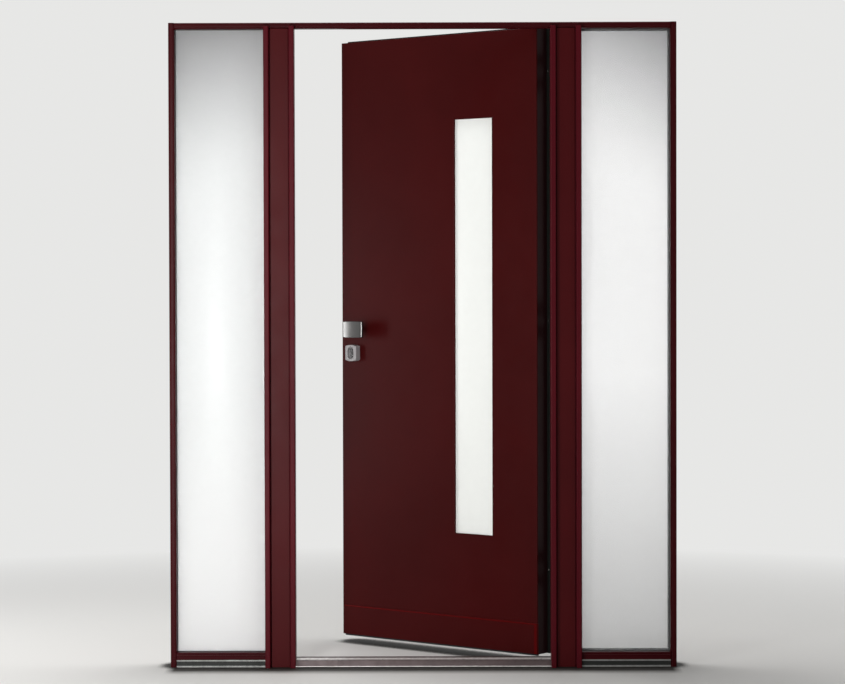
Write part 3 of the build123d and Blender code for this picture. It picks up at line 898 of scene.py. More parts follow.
@dataclass(frozen=True)
class Extrusion(Finish):
    """Aluminium with die lines and dirt, painted highlights on its top and foot, painted shade
    below.

    Attributes:
        colour: the metal.
        grime: dirt in patches all over it.
        roughness: its middle roughness.
        rubbed: the metal where a highlight is painted on the top strip and the foot band.
        rubbed_above: height from which the top strip's painted highlight begins.
        rubbed_below: height up to which the foot's painted highlight reaches.
        metallic: share of metal in the shader.
        rubbed_from: front of the painted highlight on the top.
        rubbed_to: back of the painted highlight on the top.
        soiled_below: height up to which the foot is painted black as shade.
        soil: that black, a painted shade.
        brink: height over which the painted highlight and shade begin.
        die_lines: die lines per metre along each axis.
        scuffs: scuffs per metre along each axis.
        edge: width of the rounding along edges.
        edge_colour: lighter metal along edges, from wear and a painted highlight.
    """

    colour: Colour = (0.36, 0.36, 0.35)
    grime: Colour = (0.10, 0.095, 0.09)
    roughness: float = 0.42
    rubbed: Colour = (0.40, 0.39, 0.38)
    rubbed_above: float = 9.0
    rubbed_below: float = -9.0
    metallic: float = 1.0
    rubbed_from: float = -9.0
    rubbed_to: float = 9.0
    soiled_below: float = -9.0
    soil: Colour = (0.012, 0.011, 0.009)
    brink: float = 0.0004
    die_lines: Triple = (3.0, 900.0, 900.0)
    scuffs: Triple = (90.0, 30.0, 30.0)
    edge: float = 0.0008
    edge_colour: Colour = (0.50, 0.50, 0.48)

    def trodden(
        self, recipe: Recipe, axes: bpy.types.NodeOutputs, scuffs: bpy.types.NodeSocket
    ) -> bpy.types.NodeSocket:
        """Mask of where a highlight is painted on the metal's top strip and its foot.

        Args:
            recipe: the recipe that is written.
            axes: where the metal is read.
            scuffs: the noise of the scuffs.

        Returns:
            The mask socket.
        """
        # Painted highlight: a bright strip on the top and a bright band at the foot.
        top = recipe.spread(axes["Z"], self.rubbed_above - self.brink, self.rubbed_above)
        behind = recipe.spread(axes["Y"], self.rubbed_from, self.rubbed_from + 0.012)
        before = recipe.spread(axes["Y"], self.rubbed_to - 0.006, self.rubbed_to, 1.0, 0.0)
        strip = recipe.reckon("MULTIPLY", top, recipe.reckon("MULTIPLY", behind, before))
        foot = recipe.spread(
            axes["Z"], self.rubbed_below, self.rubbed_below + self.brink, 1.0, 0.0)
        scuffed = recipe.spread(scuffs, 0.30, 0.60, 1.0, 0.72)
        return recipe.reckon("MULTIPLY", recipe.reckon("MAXIMUM", strip, foot), scuffed)

    def write(self, recipe: Recipe) -> None:
        """Writes the metal's nodes.

        Args:
            recipe: the recipe that they go into.
        """
        lines = recipe.noise(recipe.place(self.die_lines, self.turn), 1.0, 3.0)
        place = recipe.place(turn=self.turn)
        scuffs = recipe.noise(recipe.place(self.scuffs, self.turn), 1.0, 5.0)
        dust = recipe.noise(place, 9.0, 4.0)
        normal, mask = recipe.edges(self.edge)
        dark = scaled(self.colour, 0.82)
        bright = scaled(self.colour, 1.12)
        drawn = recipe.blend(recipe.spread(lines, 0.3, 0.7), dark, bright)
        dirty = recipe.blend(recipe.spread(dust, 0.5, 0.8, 0.0, 0.45), drawn, self.grime)
        axes = recipe.axes(place)
        rubbed = recipe.blend(self.trodden(recipe, axes, scuffs), dirty, self.rubbed)
        # Painted shade: the lowest part of the foot is made black.
        foot_shadow_mask = recipe.spread(
            axes["Z"], self.soiled_below, self.soiled_below + self.brink, 1.0, 0.0)
        lit_and_shaded = recipe.blend(foot_shadow_mask, rubbed, self.soil)
        # Lighter edges: partly wear, partly a painted highlight.
        wear_and_highlight_mask = recipe.reckon("MULTIPLY", mask, 0.5)
        recipe.feed("Base Color", recipe.blend(wear_and_highlight_mask, lit_and_shaded, self.edge_colour))
        rough = recipe.spread(scuffs, 0.35, 0.7, self.roughness - 0.08, self.roughness + 0.14)
        recipe.feed("Roughness", rough)
        recipe.relief(lines, 0.30, 0.00010, normal)
        recipe.constant(Metallic=self.metallic)


@dataclass(frozen=True)
class FrostedGlass(Finish):
    """Acid-etched glass, with painted shade greying its top and a painted tone at its foot.

    Attributes:
        colour: the glass between its foot and its top.
        top_colour: the grey painted at its top as shade.
        fade_from: height from which the painted shade greys it upwards.
        fade_to: height at which it is as grey as its painted top shade.
        lean: how much higher the painted shade starts for each metre to the left.
        foot_from: height from which the painted foot tone comes in downwards.
        foot_colour: its colour at the floor; lighter is painted light, darker painted shade.
        transmission: share of light that it lets through.
        frost: grains of the etching per metre.
        mottle: faint patches per metre.
    """

    colour: Colour = (0.98, 0.99, 0.99)
    top_colour: Colour = (0.56, 0.56, 0.565)
    fade_from: float = 1.55
    fade_to: float = 2.12
    lean: float = 0.0
    foot_from: float = 0.03
    foot_colour: Colour = (0.90, 0.90, 0.90)
    transmission: float = 0.45
    frost: float = 1500.0
    mottle: float = 45.0

    def write(self, recipe: Recipe) -> None:
        """Writes the glass's nodes.

        Args:
            recipe: the recipe that they go into.
        """
        place = recipe.place(turn=self.turn)
        axes = recipe.axes(place)
        # Painted shade: the glass greys towards its top, along a slanted line.
        lean = recipe.reckon("MULTIPLY", axes["X"], self.lean)
        slanted = recipe.reckon("ADD", axes["Z"], lean)
        top_shade_mask = recipe.reckon("POWER", recipe.spread(slanted, self.fade_from, self.fade_to), 1.8)
        frost = recipe.noise(place, self.frost, 3.0)
        mottle = recipe.noise(place, self.mottle, 3.0)
        dull = scaled(self.colour, 0.985)
        clear = recipe.blend(recipe.spread(mottle, 0.3, 0.7), dull, self.colour)
        # Painted light and shade: the glass changes tone near its foot.
        low = recipe.spread(axes["Z"], 0.0, self.foot_from, 1.0, 0.0)
        body = recipe.blend(low, clear, self.foot_colour)
        recipe.feed("Base Color", recipe.blend(top_shade_mask, body, self.top_colour))
        recipe.feed("Roughness", recipe.spread(mottle, 0.3, 0.7, 0.18, 0.25))
        recipe.relief(frost, 0.25, 0.00006)
        recipe.constant(
            Transmission_Weight=self.transmission, IOR=1.15, Specular_IOR_Level=0.4)


@dataclass(frozen=True)
class Rubber(Finish):
    """Extruded gasket rubber with drag lines and a chalky bloom.

    Attributes:
        colour: the rubber.
        bloom: its chalky patches.
        roughness: its middle roughness.
        gloss: specular level.
    """

    colour: Colour = (0.020, 0.020, 0.021)
    bloom: Colour = (0.075, 0.078, 0.076)
    roughness: float = 0.62
    gloss: float = 0.3

    def write(self, recipe: Recipe) -> None:
        """Writes the rubber's nodes.

        Args:
            recipe: the recipe that they go into.
        """
        place = recipe.place(turn=self.turn)
        grain = recipe.noise(place, 1400.0, 2.0)
        chalk = recipe.noise(place, 28.0, 4.0)
        patches = recipe.spread(chalk, 0.45, 0.75, 0.0, 0.7)
        recipe.feed("Base Color", recipe.blend(patches, self.colour, self.bloom))
        rough = recipe.spread(chalk, 0.3, 0.7, self.roughness - 0.08, self.roughness + 0.1)
        recipe.feed("Roughness", rough)
        recipe.relief(grain, 0.35, 0.00012)
        recipe.constant(Specular_IOR_Level=self.gloss)


@dataclass(frozen=True)
class Moulding(Finish):
    """Dark moulded plastic with a fine spark-eroded skin.

    Attributes:
        colour: the plastic.
        roughness: its lowest roughness.
    """

    colour: Colour = (0.030, 0.029, 0.028)
    roughness: float = 0.48

    def write(self, recipe: Recipe) -> None:
        """Writes the plastic's nodes.

        Args:
            recipe: the recipe that they go into.
        """
        place = recipe.place(turn=self.turn)
        grain = recipe.noise(place, 2200.0, 2.0)
        flow = recipe.noise(place, 60.0, 3.0)
        recipe.feed("Base Color", recipe.blend(flow, self.colour, scaled(self.colour, 1.5)))
        rough = recipe.spread(flow, 0.3, 0.7, self.roughness, self.roughness + 0.1)
        recipe.feed("Roughness", rough)
        recipe.relief(grain, 0.3, 0.00008)


@dataclass(frozen=True)
class FloorPaint(Finish):
    """Pale speckled floor that fades into the backdrop, with painted shadow at the door set's
    foot.

    Attributes:
        colour: the floor.
        backdrop: what it fades into.
        fade_from: distance from the door at which it begins to fade.
        fade_to: distance at which it is all backdrop.
        contact_colour: painted shade on the floor close under a piece.
        contact_reach: how far that painted shade reaches.
        shadow_tone: the soft shadow along the door set's front.
        shadow_front: where that shadow begins.
        shadow_deep: where it is at its darkest.
        shadow_back: where it ends.
        shadow_half: half its length.
    """

    colour: Colour = (0.74, 0.73, 0.71)
    backdrop: Colour = (0.80, 0.80, 0.79)
    fade_from: float = 1.2
    fade_to: float = 4.0
    contact_colour: Colour = (0.014, 0.012, 0.010)
    contact_reach: float = 0.05
    shadow_tone: Colour = (0.048, 0.045, 0.042)
    shadow_front: float = -0.215
    shadow_deep: float = -0.120
    shadow_back: float = 0.02
    shadow_half: float = 0.832

    def shadow(self, recipe: Recipe, place: bpy.types.NodeSocket) -> bpy.types.NodeSocket:
        """Mask of the soft shadow along the door set's front.

        Args:
            recipe: the recipe that is written.
            place: where the floor is read.

        Returns:
            The mask socket.
        """
        axes = recipe.axes(place)
        fore = recipe.spread(axes["Y"], self.shadow_front, self.shadow_deep)
        aft = recipe.spread(axes["Y"], 0.0, self.shadow_back, 1.0, 0.0)
        aside = recipe.reckon("ABSOLUTE", axes["X"], 0.0)
        across = recipe.spread(
            aside, self.shadow_half - 0.02, self.shadow_half + 0.01, 1.0, 0.0)
        return recipe.reckon(
            "MULTIPLY", recipe.reckon("POWER", fore, 1.4), recipe.reckon("MULTIPLY", aft, across))

    def write(self, recipe: Recipe) -> None:
        """Writes the floor's nodes.

        Args:
            recipe: the recipe that they go into.
        """
        place = recipe.place()
        speckle = recipe.noise(place, 300.0, 2.0)
        paint = recipe.blend(speckle, self.colour, scaled(self.colour, 1.02))
        # Painted shade: ambient occlusion darkens the floor close to the pieces as a contact
        # shadow.
        near = recipe.node("ShaderNodeAmbientOcclusion", samples=8)
        near.inputs["Distance"].default_value = self.contact_reach
        open_air = recipe.spread(near.outputs["AO"], 0.75, 0.99)
        # Painted shadow: a soft dark band along the door set's front.
        shaded = recipe.blend(self.shadow(recipe, place), paint, self.shadow_tone)
        recipe.feed("Base Color", recipe.blend(open_air, self.contact_colour, shaded))
        recipe.constant(Roughness=0.6, Specular_IOR_Level=0.15)
        distance = recipe.node("ShaderNodeVectorMath", operation="LENGTH")
        recipe.wire(place, distance.inputs[0])
        glow = recipe.node("ShaderNodeEmission")
        glow.inputs["Color"].default_value = (*self.backdrop, 1.0)
        mix = recipe.node("ShaderNodeMixShader")
        recipe.wire(
            recipe.spread(distance.outputs["Value"], self.fade_from, self.fade_to),
            mix.inputs["Fac"])
        recipe.wire(recipe.shader.outputs["BSDF"], mix.inputs[1])
        recipe.wire(glow.outputs["Emission"], mix.inputs[2])
        output = recipe.tree.nodes["Material Output"]
        recipe.wire(mix.outputs["Shader"], output.inputs["Surface"])


@dataclass
class FinishCard:
    """Every finish of the door set.

    Attributes:
        turn: the angle about Z by which the leaf stands open, for the leaf's grain.
        kick_fold: place of the kick plate's folded edge along the leaf.
        kick_top: height of the kick plate's top.
        fold_wide: width of the fold's painted highlight.
        top_tall: height of the top edge's painted highlight.
    """

    turn: float
    kick_fold: float
    kick_top: float
    fold_wide: float = 0.013
    top_tall: float = 0.0050

    def __post_init__(self) -> None:
        """Fills in the finishes, those on the leaf with its turn."""
        self.mix_paints()
        self.grind_steels()
        self.draw_aluminium()
        self.etch_glass()
        self.mould_rubbers()

    def mix_paints(self) -> None:
        """Fills in the paints of the frame, the leaf and its kick plate."""
        leaf_red = (0.0425, 0.0030, 0.0032)
        # Painted shade: the frame's paint is a darker copy of the same oxblood, for its rounded
        # faces.
        self.frame_paint = PowderCoat(
            "frame_paint_oxblood", colour=(0.0375, 0.0026, 0.0040), gloss=0.036)
        self.cover_paint = PowderCoat(
            "cover_paint_oxblood", colour=(0.057, 0.0036, 0.0048), gloss=0.045)
        self.strip_paint = PowderCoat(
            "post_paint_oxblood", colour=(0.066, 0.0032, 0.0070), gloss=0.045)
        self.leaf_paint = PowderCoat("leaf_paint_oxblood", self.turn, leaf_red, gloss=0.04)
        self.kick_paint = KickPaint(
            "kick_paint_oxblood", self.turn, leaf_red, gloss=0.04,
            fold_from=self.kick_fold - self.fold_wide, top_from=self.kick_top - self.top_tall)
        self.edge_paint = PowderCoat(
            "leaf_edge_dark", self.turn, colour=(0.021, 0.0062, 0.0070),
            rubbed=(0.050, 0.030, 0.028), gloss=0.08, roughness=0.45)

    def grind_steels(self) -> None:
        """Fills in the steels of the handle, the lock, the hinges and the screws."""
        self.plate_steel = SatinMetal(
            "plate_steel_ground", self.turn, (0.105, 0.103, 0.102), roughness=0.19, grain=0.015,
            uneven=0.006, contrast=0.04)
        self.guard_steel = SatinMetal(
            "guard_steel_blasted", self.turn, (0.28, 0.268, 0.272), (420.0, 420.0, 420.0),
            roughness=0.50, grain=0.2, metallic=0.1)
        self.cylinder_steel = SatinMetal(
            "cylinder_steel_dark", self.turn, (0.050, 0.049, 0.050), (350.0, 350.0, 350.0),
            roughness=0.24, grain=0.1)
        self.turned_steel = SatinMetal(
            "turned_steel_satin", self.turn, (0.50, 0.49, 0.48), (350.0, 350.0, 350.0),
            roughness=0.28, grain=0.15)
        self.lock_steel = SatinMetal(
            "lock_edge_steel", self.turn, (0.52, 0.51, 0.49), (600.0, 600.0, 10.0),
            roughness=0.33, grain=0.3)
        self.hinge_steel = SatinMetal(
            "hinge_steel_satin", 0.0, (0.46, 0.46, 0.45), (600.0, 600.0, 12.0),
            roughness=0.34, grain=0.3)
        self.screw_steel = SatinMetal(
            "screw_steel_zinc", 0.0, (0.58, 0.58, 0.56), (500.0, 500.0, 500.0),
            roughness=0.26, grain=0.2)

    def draw_aluminium(self) -> None:
        """Fills in the metals of the threshold, the sills and the spacer bars."""
        # Painted: red tint as the leaf's reflection, highlights on top and foot, shade at the
        # bottom.
        self.threshold_metal = Extrusion(
            "threshold_aluminium",
            colour=(0.070, 0.047, 0.047),
            grime=(0.040, 0.030, 0.030),
            roughness=0.45,
            rubbed=(0.88, 0.84, 0.82),
            rubbed_above=0.0215,
            rubbed_below=0.0066,
            metallic=0.45,
            rubbed_from=-0.034,
            rubbed_to=0.018,
            soiled_below=0.0050,
        )
        # Painted: near-black colour as a dark reflection, highlights on the top and foot bands.
        self.sill_metal = Extrusion(
            "sill_aluminium",
            colour=(0.013, 0.014, 0.0125),
            grime=(0.008, 0.008, 0.007),
            roughness=0.42,
            rubbed=(0.24, 0.24, 0.23),
            rubbed_above=0.0200,
            rubbed_below=0.0045,
            metallic=0.7,
        )
        self.spacer_metal = Extrusion("spacer_aluminium", colour=(0.72, 0.72, 0.71))

    def etch_glass(self) -> None:
        """Fills in the glass of the two sidelights and of the leaf's slot."""
        # Lit and shaded copies of one glass: the right made lighter, the left darker, for uneven
        # light.
        self.left_glass = FrostedGlass(
            "frosted_glass_left",
            colour=(0.925, 0.935, 0.935),
            top_colour=(0.46, 0.46, 0.465),
            fade_from=1.76,
            fade_to=2.34,
            lean=-0.30,
            foot_from=0.8,
            foot_colour=(1.0, 1.0, 1.0),
            transmission=0.50,
        )
        self.right_glass = FrostedGlass(
            "frosted_glass_right",
            colour=(1.0, 1.0, 1.0),
            top_colour=(0.60, 0.60, 0.605),
            fade_from=1.90,
            fade_to=2.50,
            lean=0.50,
            foot_from=0.95,
            foot_colour=(0.80, 0.80, 0.80),
            transmission=0.88,
        )
        self.slot_glass = FrostedGlass(
            "frosted_glass_slot", self.turn, (0.985, 1.0, 0.970), fade_from=3.0, fade_to=4.0,
            transmission=0.12)

    def mould_rubbers(self) -> None:
        """Fills in the gaskets' rubbers and the drain slots' plastic."""
        self.black_rubber = Rubber("gasket_rubber_black")
        self.leaf_rubber = Rubber("leaf_rubber_black", self.turn)
        # Painted shade: the grey rubber is made nearly black for the dark gap between leaf and
        # post.
        self.grey_rubber = Rubber(
            "leaf_rubber_grey", self.turn, (0.0036, 0.0044, 0.0034), (0.007, 0.0085, 0.007),
            gloss=0.10)
        self.dark_plastic = Moulding("drain_plastic_dark")


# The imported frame


class DoorSet:
    """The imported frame, its boxes and finishes, and how new pieces join it."""

    def __init__(self) -> None:
        """Loads the frame and reads the hinge line and the rest angle from its joint."""
        self.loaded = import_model()
        self.cad_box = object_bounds()
        joint = self.loaded["joints"][0]
        pin = Matrix.Translation(Vector(joint["pos_m"]))
        self.turn = math.radians(joint["range_deg"][0])
        self.swing = pin @ Matrix.Rotation(self.turn, 4, "Z") @ pin.inverted()
        self.pin = Vector(joint["pos_m"])
        flat = Matrix.Rotation(-self.turn, 4, "Z")
        kick = [flat @ corner.co for corner in self.loaded["nodes"]["kick_plate"].data.vertices]
        self.finishes = FinishCard(
            self.turn, max(point.x for point in kick), max(point.z for point in kick))

    def box(self, node: str) -> Block:
        """Box of a CAD node, with the leaf shut.

        Args:
            node: the node's name.

        Returns:
            Its six sides.
        """
        shape = self.loaded["nodes"][node]
        back = self.swing.inverted() if shape["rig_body"] == Body.LEAF.value else Matrix()
        points = [back @ corner.co for corner in shape.data.vertices]
        low = [min(point[axis] for point in points) for axis in range(3)]
        high = [max(point[axis] for point in points) for axis in range(3)]
        return Block(low[0], high[0], low[1], high[1], low[2], high[2])

    def dress(self, finish: Finish, *nodes: str) -> None:
        """Gives carried-over CAD nodes their finish.

        Args:
            finish: the finish.
            nodes: the nodes' names.
        """
        for node in nodes:
            for slot in self.loaded["nodes"][node].material_slots:
                slot.material = finish.make()

    def add(
        self,
        mesher: Mesher,
        name: str,
        finish: Finish,
        body: Body,
        slot: Slot,
        replaced: Sequence[str] = (),
    ) -> bpy.types.Object:
        """Makes a piece, gives it its finish and joins it to a body.

        Args:
            mesher: the piece's surfaces, with the leaf shut.
            name: the piece's name.
            finish: its finish.
            body: the body it moves with.
            slot: the record's slot that the piece stands for; not used.
            replaced: CAD nodes that it stands for.

        Returns:
            The piece.
        """
        piece = mesher.piece(name)
        if body is Body.LEAF:
            piece.data.transform(self.swing)
        piece.data.materials.append(finish.make())
        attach(piece, body.value)
        if replaced:
            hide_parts(*replaced)
        log.info("%s: %d faces", name, len(piece.data.polygons))
        return piece


# Fittings


@dataclass(frozen=True)
class Screw:
    """A screw head with a hexagon socket.

    Attributes:
        radius: radius of the head.
        proud: how far it stands out of the surface.
        sunk: how far it lies in the surface.
        socket: half the width of the socket across its flats.
    """

    radius: float = 0.0045
    proud: float = 0.0012
    sunk: float = 0.0010
    socket: float = 0.0020

    def put(self, mesher: Mesher, centre: Vector, looking: Looking) -> None:
        """Adds the head to a mesh.

        Args:
            mesher: the mesh.
            centre: the point on the surface it is driven into.
            looking: the direction in which it faces.
        """
        radius, socket = self.radius, self.socket
        mesher.turned(
            [
                Ring(radius * 0.96, -self.sunk),
                Ring(radius, 0.0),
                Ring(radius * 0.97, self.proud * 0.55),
                Ring(radius * 0.86, self.proud * 0.92),
                Ring(radius * 0.72, self.proud),
                Ring(socket * 1.12, self.proud, Form.HEXAGON),
                Ring(socket, self.proud * 0.9, Form.HEXAGON),
                Ring(socket, -self.sunk * 0.8, Form.HEXAGON),
                Ring(socket * 0.2, -self.sunk * 0.9),
            ],
            centre,
            looking,
        )


@dataclass
class SealedUnit:
    """Two etched panes with a spacer bar between them.

    Attributes:
        door: the door set.
        node: the CAD node that the panes stand for.
        finish: the panes' glass.
        body: the body that the unit moves with.
        pane: thickness of a pane.
        edge: rounding of the panes' edges.
        bar_wide: width of the spacer bar.
        bar_inset: how far the bar lies inside the glass.
        nick: share of the bar's depth and width that each shoulder takes.
    """

    door: DoorSet
    node: str
    finish: FrostedGlass
    body: Body
    pane: float = 0.006
    edge: float = 0.0012
    bar_wide: float = 0.0045
    bar_inset: float = 0.001
    nick: float = 0.18

    def build(self) -> None:
        """Builds the panes and the spacer bar."""
        box = self.door.box(self.node)
        self.panes(box)
        self.spacer_bar(box)

    def panes(self, box: Block) -> None:
        """Builds the two panes.

        Args:
            box: the unit's box.
        """
        panes = Mesher()
        panes.block(box.between(box.front, box.front + self.pane), self.edge)
        panes.block(box.between(box.back - self.pane, box.back), self.edge)
        self.door.add(
            panes, f"{self.node}_panes", self.finish, self.body, Slot.FROSTED_GLASS, [self.node])

    def spacer_bar(self, box: Block) -> None:
        """Builds the bar between the panes, waisted towards the opening.

        Args:
            box: the unit's box.
        """
        front = box.front + self.pane
        back = box.back - self.pane
        nick = (back - front) * self.nick
        section = [
            (0.0, front),
            (1.0, front),
            (1.0, back),
            (0.0, back),
            (0.0, back - nick),
            (self.nick, back - 2 * nick),
            (self.nick, front + 2 * nick),
            (0.0, front + nick),
        ]
        outer = box.trimmed(self.bar_inset, self.bar_inset, self.bar_inset)
        inner = outer.trimmed(self.bar_wide, self.bar_wide, self.bar_wide)
        bar = Mesher()
        bar.rim(outer, inner, section)
        self.door.add(
            bar,
            f"{self.node}_spacer_bar",
            self.door.finishes.spacer_metal,
            self.body,
            Slot.SILL_METAL,
        )


@dataclass
class Sidelight:
    """Glass, inner gasket, bead screws and wall anchors of one sidelight.

    Attributes:
        door: the door set.
        side: the side on which it stands.
        bead_shows: width of the glazing bead round the gasket.
        head_shows: the same at the head.
        lip: width of the gasket's lip.
        lip_thick: its thickness.
        bead_screw: a screw of the glazing bead.
        bead_screw_gap: distance between two of them.
        bead_screw_inset: from the bead's side to their middles.
        anchor_screw: the head of a wall anchor.
        anchor_low: height of the lowest anchor.
        anchor_high: height of the highest anchor.
        anchor_count: number of anchors.
        anchor_from_back: from the jamb's back to their middles.
    """

    door: DoorSet
    side: Side
    bead_shows: float = 0.012
    head_shows: float = 0.020
    lip: float = 0.0028
    lip_thick: float = 0.0026
    bead_screw: Screw = Screw(0.0024, 0.0008, 0.0006, 0.0010)
    bead_screw_gap: float = 0.38
    bead_screw_inset: float = 0.0032
    anchor_screw: Screw = Screw(0.0062, 0.0030, 0.0005, 0.0026)
    anchor_low: float = 0.200
    anchor_high: float = 1.850
    anchor_count: int = 4
    anchor_from_back: float = 0.008

    def build(self) -> None:
        """Builds the sidelight's pieces."""
        word = self.side.word
        finishes = self.door.finishes
        glass = finishes.left_glass if self.side is Side.LEFT else finishes.right_glass
        SealedUnit(self.door, f"{word}_side_glass", glass, Body.FRAME).build()
        self.inner_gasket()
        self.bead_screws()
        self.anchors()

    def inner_gasket(self) -> None:
        """Builds the rubber lip between the glazing bead and the glass."""
        bead = self.door.box(f"{self.side.word}_glazing_bead")
        outer = bead.trimmed(self.bead_shows, self.bead_shows, self.head_shows)
        inner = outer.trimmed(self.lip, self.lip, self.lip)
        face = bead.front
        section = [
            (1.0, face),
            (0.15, face),
            (0.0, face + self.lip_thick * 0.35),
            (0.35, face + self.lip_thick),
            (0.65, face + self.lip_thick * 0.8),
            (1.0, face + self.lip_thick * 1.1),
        ]
        gasket = Mesher()
        gasket.rim(outer, inner, section)
        self.door.add(
            gasket,
            f"{self.side.word}_inner_gasket",
            self.door.finishes.black_rubber,
            Body.FRAME,
            Slot.SEAL_RUBBER,
        )

    def bead_screws(self) -> None:
        """Builds the small screws that hold the bead, along both uprights."""
        bead = self.door.box(f"{self.side.word}_glazing_bead")
        screws = Mesher()
        count = max(2, round((bead.high - bead.low) / self.bead_screw_gap))
        for x in (bead.left + self.bead_screw_inset, bead.right - self.bead_screw_inset):
            for i in range(count):
                z = bead.low + (bead.high - bead.low) * (i + 0.5) / count
                self.bead_screw.put(screws, Vector((x, bead.back, z)), Looking.INSIDE)
        self.door.add(
            screws,
            f"{self.side.word}_bead_screws",
            self.door.finishes.screw_steel,
            Body.FRAME,
            Slot.SATIN_STEEL,
        )

    def anchors(self) -> None:
        """Builds the heads of the wall anchors behind the bead."""
        bead = self.door.box(f"{self.side.word}_glazing_bead")
        jamb = self.door.box(f"{self.side.word}_jamb")
        inward = Looking.RIGHT if self.side is Side.LEFT else Looking.LEFT
        face = bead.left if self.side is Side.LEFT else bead.right
        anchors = Mesher()
        step = (self.anchor_high - self.anchor_low) / (self.anchor_count - 1)
        for i in range(self.anchor_count):
            centre = Vector((face, jamb.back - self.anchor_from_back, self.anchor_low + step * i))
            self.anchor_screw.put(anchors, centre, inward)
        self.door.add(
            anchors,
            f"{self.side.word}_wall_anchors",
            self.door.finishes.screw_steel,
            Body.FRAME,
            Slot.SATIN_STEEL,
        )


@dataclass
class ThresholdFittings:
    """Countersunk screws and drain slots of the threshold.

    Attributes:
        door: the door set.
        screw: a countersunk screw.
        screw_from_front: from the threshold's front to the screws' middles.
        screw_spread: their places as shares of the threshold's half length.
        drain_from_back: from the threshold's back to the slots' middles.
        drain_down: how far the slots lie below the threshold's top.
        drain_long: length of a slot.
        drain_wide: its width.
        drain_spread: the slots' places as shares of the threshold's half length.
        drain_round: radius of a slot's corners as a share of its width.
        drain_bulge: how much its sides stand out in the middle.
        drain_rings: scale and height of each ring of its rim.
    """

    door: DoorSet
    screw: Screw = Screw(0.0048, 0.0003, 0.0008, 0.0020)
    screw_from_front: float = 0.050
    screw_spread: tuple[float, ...] = (-0.88, -0.30, 0.30, 0.88)
    drain_from_back: float = 0.027
    drain_down: float = 0.004
    drain_long: float = 0.034
    drain_wide: float = 0.0046
    drain_spread: tuple[float, ...] = (-0.6, 0.0, 0.6)
    drain_round: float = 0.45
    drain_bulge: float = 0.0001
    drain_rings: tuple[Point, ...] = ((1.0, 0.0), (1.0, 0.0004), (0.86, 0.0007), (0.8, 0.0001))

    def build(self) -> None:
        """Builds the screws and the slots."""
        box = self.door.box("threshold")
        self.screws(box)
        self.drain_slots(box)

    def screws(self, box: Block) -> None:
        """Builds the screws along the threshold's flat top.

        Args:
            box: the threshold's box.
        """
        half = (box.right - box.left) / 2
        middle = box.middle.x
        screws = Mesher()
        for share in self.screw_spread:
            centre = Vector((middle + half * share, box.front + self.screw_from_front, box.high))
            self.screw.put(screws, centre, Looking.UP)
        self.door.add(
            screws,
            "threshold_screws",
            self.door.finishes.screw_steel,
            Body.FRAME,
            Slot.SATIN_STEEL,
        )

    def drain_slots(self, box: Block) -> None:
        """Builds the rims of the slots in the drain groove.

        Args:
            box: the threshold's box.
        """
        half = (box.right - box.left) / 2
        middle = box.middle.x
        drains = Mesher()
        floor = box.high - self.drain_down
        y = box.back - self.drain_from_back
        outline = arched_outline(
            self.drain_long / 2,
            self.drain_wide / 2,
            self.drain_wide * self.drain_round,
            self.drain_bulge,
            self.drain_bulge,
        )
        for share in self.drain_spread:
            x = middle + half * share
            rows = []
            for scale, height in self.drain_rings:
                rows.append([
                    Vector((x + across * scale, y + along * scale, floor + height))
                    for across, along in outline
                ])
            drains.loft(rows)
        self.door.add(
            drains, "drain_slots", self.door.finishes.dark_plastic, Body.FRAME, Slot.SEAL_RUBBER)


